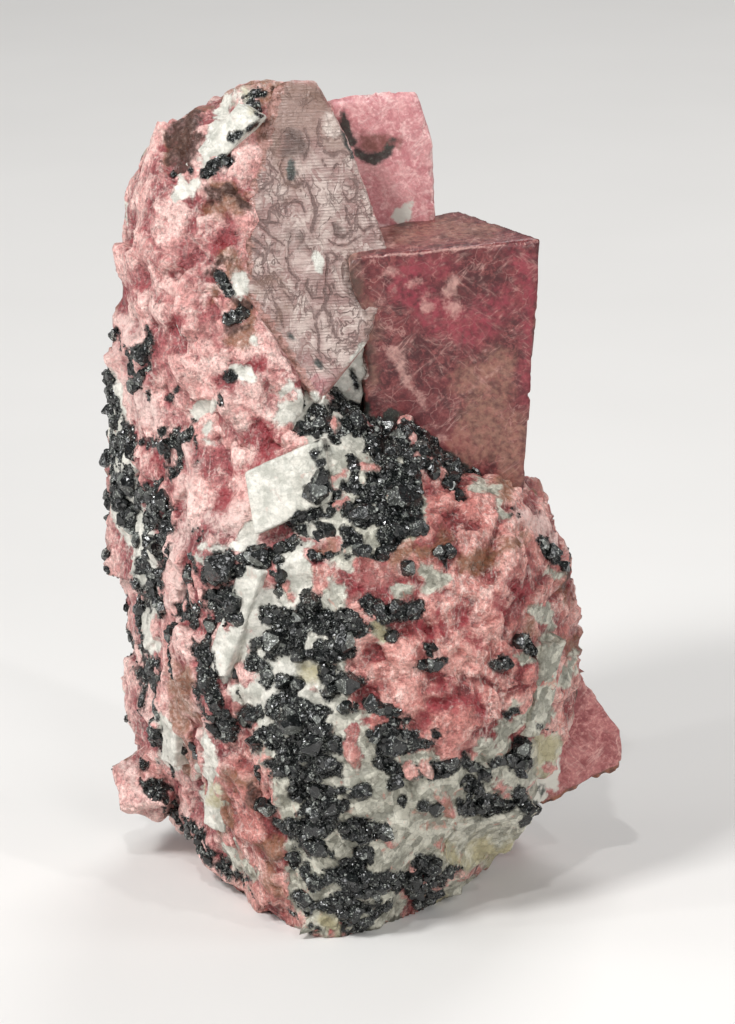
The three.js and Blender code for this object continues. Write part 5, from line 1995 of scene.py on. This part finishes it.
@dataclass(frozen=True)
class CrystalFinish:
    """A flat-faced rhodonite crystal."""

    name: str
    light: Colour
    middle: Colour
    deep: Colour
    vein: Colour
    # The colours of the rough margin where it grows out of the stone.
    margin: Colour
    margin_dark: Colour
    # The colours of its red depths, its stains and its umber marks.
    red: Colour
    brown: Colour
    umber: Colour
    roughness: float
    # How much its fibres show, from 0 to 1, and how they lean, in degrees.
    fibres: float
    lean: float = 42
    white: Colour = srgb(206, 204, 194)
    mineral: BlackMineral = BlackMineral(
        body=srgb(44, 52, 47), pit_shade=srgb(24, 28, 26), glint=srgb(84, 92, 84)
    )

    def body(self, graph: Graph) -> bpy.types.NodeSocket:
        """The crystal's colour: mottled in three tones and crossed by fine leaning fibres."""
        cloud = graph.noise(3.4, 5, warp=0.8)
        mottle = graph.noise(0.9, 5, warp=1.0)
        grit = graph.noise(0.25, 3)
        colour = graph.mix((cloud * 0.5 + mottle * 0.5).step(0.40, 0.58), self.deep, self.middle)
        colour = graph.mix((mottle * 0.7 + grit * 0.3).step(0.5, 0.66) * 0.6, colour, self.light)
        for turn, span, share in ((self.lean, 1.7, 1.0), (-self.lean, 1.4, 0.7), (12, 1.1, 0.5)):
            ridge = abs(graph.noise(span, 3, stretch=(5, 5, 1), turn=turn, warp=0.5) - 0.5)
            where = graph.noise(3.0, 4, turn=turn).step(0.47, 0.64)
            haze = ridge.step(0.09, 0.0) * where * 0.3
            fibre = graph.math("MAXIMUM", haze, ridge.step(0.022, 0.004) * where)
            colour = graph.mix(fibre * (self.fibres * share), colour, self.vein)
        healed = graph.cracks(2.6, 0.03) * cloud.step(0.44, 0.6)
        colour = graph.mix(healed * self.fibres * 0.7, colour, self.vein)
        # Paler along its edges: partly chipped edges, partly a painted highlight.
        rim = (graph.attribute("rim") + (grit - 0.5) * 0.5).step(0.72, 0.98)
        colour = graph.mix(rim * 0.5, colour, self.vein)
        return graph.shade(colour, 0.62 + grit * 0.76)

    def marked(self, graph: Graph, colour: Any) -> bpy.types.NodeSocket:
        """The painted marks over a colour: depths, stains, veins, margins, white and black patches."""
        ragged = graph.noise(0.8, 5)
        mottle = graph.noise(0.6, 5).step(0.3, 0.7)
        pale = graph.mask(Facies.PALE, graph.noise(0.4, 5), 3, 0.7)
        grown = (graph.attribute("overgrown") + (ragged - 0.5) * 0.9).step(0.4, 0.6)
        return graph.over(
            colour,
            (graph.mask(Facies.DEEP, ragged, 1.1, 1.2) * (0.15 + mottle * 0.65), self.red),
            (graph.mask(Facies.STAIN, ragged, 1.2, 1.2) * (0.15 + mottle * 0.55), self.brown),
            (graph.mask(Facies.UMBER, ragged, 2.0, 0.7) * (0.6 + mottle * 0.35), self.umber),
            (pale * (0.25 + mottle * 0.5), self.vein),
            (grown, graph.mix(ragged.step(0.4, 0.6), self.margin_dark, self.margin)),
            (graph.mask(Facies.WHITE, ragged, 6), self.white),
            (
                graph.mask(Facies.BLACK, ragged, 6, 0.4) * 0.94,
                self.mineral.colour(graph, graph.chips(0.6)),
            ),
        )

    def dress(self) -> bpy.types.Material:
        """Builds the material."""
        graph = Graph(self.name)
        colour = self.marked(graph, self.body(graph))
        fine = graph.noise(0.4, 4)
        grown = graph.attribute("overgrown")
        relief = graph.facets(1.6) * (0.05 + grown * 0.5) + graph.facets(0.45) * (0.1 + grown * 0.7)
        relief = relief + graph.noise(0.3, 3, stretch=(5, 5, 1)) * 0.012 + fine * 0.02
        roughness = self.roughness + (fine - 0.5) * 0.5
        return graph.finish(colour, roughness, graph.bump(relief), Specular_IOR_Level=0.5)


@dataclass(frozen=True)
class StriatedFinish(CrystalFinish):
    """The crystal whose first face is silvery with painted sheen, ruled with growth lines and crossed by
    outlines.
    """

    silver_sheen: Colour = srgb(200, 181, 172)
    rose: Colour = srgb(148, 114, 108)
    low: Colour = srgb(172, 112, 115)
    outline: Colour = srgb(92, 66, 60)
    rule: Colour = srgb(112, 84, 78)
    crest: Colour = srgb(140, 110, 99)
    # Distance from one growth line to the next, in millimetres.
    ruling: float = 0.3

    def outlines(self, graph: Graph, span: float, count: float) -> tuple[Value, Value]:
        """Growth terraces: soft noise cut into levels, and the lines where one level meets the next.

        Args:
            graph: The material.
            span: The size of a terrace, in millimetres.
            count: How many levels the noise is cut into.

        Returns:
            The level within each terrace, and the lines.
        """
        levels = graph.noise(span, 3, stretch=(1, 1, 1.7), warp=0.5) * count
        part = levels.fraction()
        return part, abs(part - 0.5).step(0.1, 0.03)

    def rules(self, graph: Graph, height: Value) -> Value:
        """The growth lines: one to each stretch of height, wandering and broken."""
        wander = graph.noise(3.6, 3, stretch=(3, 3, 1)) * 1.9
        part = (height * (1 / self.ruling) + wander).fraction()
        broken = graph.noise(0.9, 4, stretch=(4, 4, 1)).step(0.38, 0.6)
        return abs(part - 0.5).step(0.2, 0.06) * broken

    def dress(self) -> bpy.types.Material:
        """Builds the material."""
        graph = Graph(self.name)
        first = graph.attribute("first")
        place = graph.node("ShaderNodeSeparateXYZ", {}, {"Vector": graph.spot})
        height = Value(graph, place.outputs["Z"])
        rule = self.rules(graph, height)
        hair = graph.noise(0.14, 2, stretch=(24, 24, 1)).step(0.36, 0.64)
        glow = graph.noise(3.0, 5, warp=0.6)
        drawn = graph.attribute(Facies.OUTLINE.value) + (graph.noise(0.45, 4) - 0.5) * 0.16
        line, halo = drawn.step(0.468, 0.535) * 0.95, drawn.step(0.2, 0.5)
        terrace, wide = self.outlines(graph, 2.6, 5)
        _, narrow = self.outlines(graph, 1.3, 3)
        crowd = graph.noise(3.6, 3)
        traced = graph.math("MAXIMUM", wide * crowd.step(0.42, 0.54), narrow * crowd.step(0.5, 0.6)) * 0.8
        line = graph.math("MAXIMUM", line, traced)
        level = height + (glow - 0.5) * 9
        lower, upper = level.step(61.0, 54.0), level.step(79.0, 84.0)
        face = graph.over(
            self.rose,
            # Silvery patches laid over the rose: painted sheen.
            ((glow * 0.8 + terrace * 0.14).step(0.34, 0.58), self.silver_sheen),
            (halo * 0.55, self.rose),
            (lower * 0.8, self.low),
            (upper * 0.85, self.crest),
            ((1 - hair) * 0.22, self.rule),
            (rule * (1 - upper) * 0.3, self.rule),
            (line * (0.9 - upper * 0.3), self.outline),
        )
        face = graph.shade(face, 0.8 + graph.noise(0.28, 5) * 0.4)
        colour = self.marked(graph, graph.mix(first, self.body(graph), face))
        roughness = 0.5 - first * 0.14 + (glow - 0.5) * 0.3 + line * 0.2 + rule * 0.1
        grown = graph.attribute("overgrown")
        relief = (hair * 0.03 - rule * 0.05 + terrace * 0.14 - line * 0.1) * first
        relief = relief + graph.facets(1.3) * (0.08 + grown * 0.6)
        relief = relief + graph.facets(0.45) * (0.08 + grown * 0.7)
        return graph.finish(colour, roughness, graph.bump(relief), Specular_IOR_Level=0.9)


STRIATED_FINISH = StriatedFinish(
    name="striated_rhodonite",
    light=srgb(208, 168, 160),
    middle=srgb(180, 126, 121),
    deep=srgb(142, 88, 82),
    vein=srgb(238, 224, 214),
    margin=srgb(176, 130, 120),
    margin_dark=srgb(116, 78, 64),
    red=srgb(168, 92, 98),
    brown=srgb(120, 88, 70),
    umber=srgb(78, 56, 48),
    roughness=0.42,
    fibres=0.35,
)
REAR_FINISH = CrystalFinish(
    name="rear_rhodonite",
    light=srgb(224, 186, 182),
    middle=srgb(204, 148, 148),
    deep=srgb(180, 114, 118),
    vein=srgb(234, 208, 202),
    margin=srgb(200, 150, 146),
    margin_dark=srgb(110, 100, 84),
    red=srgb(160, 84, 92),
    brown=srgb(150, 92, 84),
    umber=srgb(104, 62, 54),
    roughness=0.45,
    fibres=0.3,
)
BLOCK_FINISH = CrystalFinish(
    name="block_rhodonite",
    light=srgb(140, 78, 74),
    middle=srgb(106, 44, 47),
    deep=srgb(68, 23, 27),
    vein=srgb(204, 160, 150),
    margin=srgb(122, 66, 62),
    margin_dark=srgb(70, 44, 38),
    red=srgb(148, 50, 66),
    brown=srgb(164, 120, 102),
    umber=srgb(66, 46, 38),
    roughness=0.4,
    fibres=0.5,
)
CORNER_FINISH = CrystalFinish(
    name="corner_rhodonite",
    light=srgb(202, 150, 142),
    middle=srgb(176, 108, 106),
    deep=srgb(136, 66, 68),
    vein=srgb(220, 180, 170),
    margin=srgb(150, 96, 74),
    margin_dark=srgb(96, 58, 44),
    red=srgb(146, 50, 62),
    brown=srgb(140, 86, 66),
    umber=srgb(88, 52, 42),
    roughness=0.45,
    fibres=0.45,
)


@dataclass(frozen=True)
class SoftBox:
    """A square studio light, by its azimuth, elevation and distance from the stone."""

    name: str
    azimuth: float
    elevation: float
    distance: float
    size: float
    power: float

    def build(self) -> bpy.types.Object:
        """Makes the light and turns it to the stone."""
        light = bpy.data.lights.new(self.name, "AREA")
        light.energy = self.power
        light.size = self.size * METRES
        way = facing(self.azimuth, self.elevation)
        return linked(self.name, light, TARGET + way * self.distance, -way)


@dataclass(frozen=True)
class Studio:
    """The floor, the lights and the camera."""

    lights: tuple[SoftBox, ...]
    floor_reach: float = 3000.0
    floor_colour: Colour = srgb(228, 226, 223)
    floor_shade: Colour = srgb(222, 220, 217)
    ambient: Colour = (0.78, 0.8, 0.83, 1.0)
    ambient_strength: float = 0.16
    # The camera's least and greatest distance, in metres.
    nearest: float = 0.01
    farthest: float = 20.0

    def floor(self) -> None:
        """A plain pale floor that the stone stands on."""
        points = self.floor_reach * np.array([(-1, -1, 0), (1, -1, 0), (1, 1, 0), (-1, 1, 0)])
        made = mesh_object("floor", points, np.array([[0, 1, 2, 3]]), flat=True)
        graph = Graph("floor")
        tint = graph.mix(graph.noise(40, 2), self.floor_colour, self.floor_shade)
        normal = graph.bump(graph.noise(3, 2) * 0.01)
        made.data.materials.append(graph.finish(tint, 0.7, normal))

    def camera(self) -> None:
        """The camera at the photograph's place: its scale at the target sets the lens."""
        lens = bpy.data.cameras.new("camera")
        lens.sensor_width = SENSOR
        lens.lens = SENSOR * DISTANCE / (PHOTO_HEIGHT * PIXEL)
        lens.clip_start, lens.clip_end = self.nearest, self.farthest
        place = TARGET + TOWARDS_CAMERA * DISTANCE
        bpy.context.scene.camera = linked("camera", lens, place, -TOWARDS_CAMERA)

    def surroundings(self) -> None:
        """An even pale light from all round, and plain display colours."""
        world = bpy.data.worlds.new("surroundings")
        world.use_nodes = True
        sky = world.node_tree.nodes["Background"]
        sky.inputs["Color"].default_value = self.ambient
        sky.inputs["Strength"].default_value = self.ambient_strength
        bpy.context.scene.world = world
        bpy.context.scene.view_settings.view_transform = "Standard"

    def build(self) -> None:
        """Makes everything round the stone."""
        self.camera()
        self.floor()
        self.surroundings()
        for light in self.lights:
            light.build()


STUDIO = Studio(
    lights=(
        SoftBox("key", azimuth=-42, elevation=46, distance=620, size=100, power=2.5),
        SoftBox("left", azimuth=-88, elevation=16, distance=600, size=200, power=0.9),
        SoftBox("sheen", azimuth=19, elevation=23, distance=800, size=220, power=1.45),
        SoftBox("fill", azimuth=78, elevation=25, distance=700, size=200, power=1.0),
        SoftBox("rim", azimuth=165, elevation=50, distance=650, size=260, power=1.6),
        SoftBox("spark", azimuth=-12, elevation=58, distance=700, size=24, power=0.8),
        SoftBox("spark_left", azimuth=-66, elevation=30, distance=700, size=24, power=0.5),
        SoftBox("spark_right", azimuth=44, elevation=48, distance=700, size=24, power=0.5),
    ),
)


def main() -> None:
    """Builds the specimen and its studio in order, and reports each piece."""
    logging.basicConfig(level=logging.INFO, format="%(message)s")
    STUDIO.build()
    painter = Painter()
    stone = StoneFinish().dress()
    crystals = (
        (STRIATED, STRIATED_FINISH),
        (REAR, REAR_FINISH),
        (BLOCK, BLOCK_FINISH),
        (SHOULDER, BLOCK_FINISH),
        (CORNER, CORNER_FINISH),
    )
    grown = []
    for mass in ROUGH_MASSES:
        made = mass.build(painter)
        settle(made, stone)
        grown.append(made)
    for crystal, finish in crystals:
        settle(crystal.build(painter), finish.dress())
    settle(CALCITE.build(painter), stone)
    solids = {body.name: body.planes() for body in (*ROUGH_MASSES, STRIATED, REAR, BLOCK, CORNER)}
    ground = Ground.of(grown, solids)
    black = FrankliniteFinish().dress()
    settle(FRANKLINITE.pick(ground), black)
    for size in FRANKLINITE.classes:
        settle(FRANKLINITE.scatter(size, ground), black)


if __name__ == "__main__":
    main()
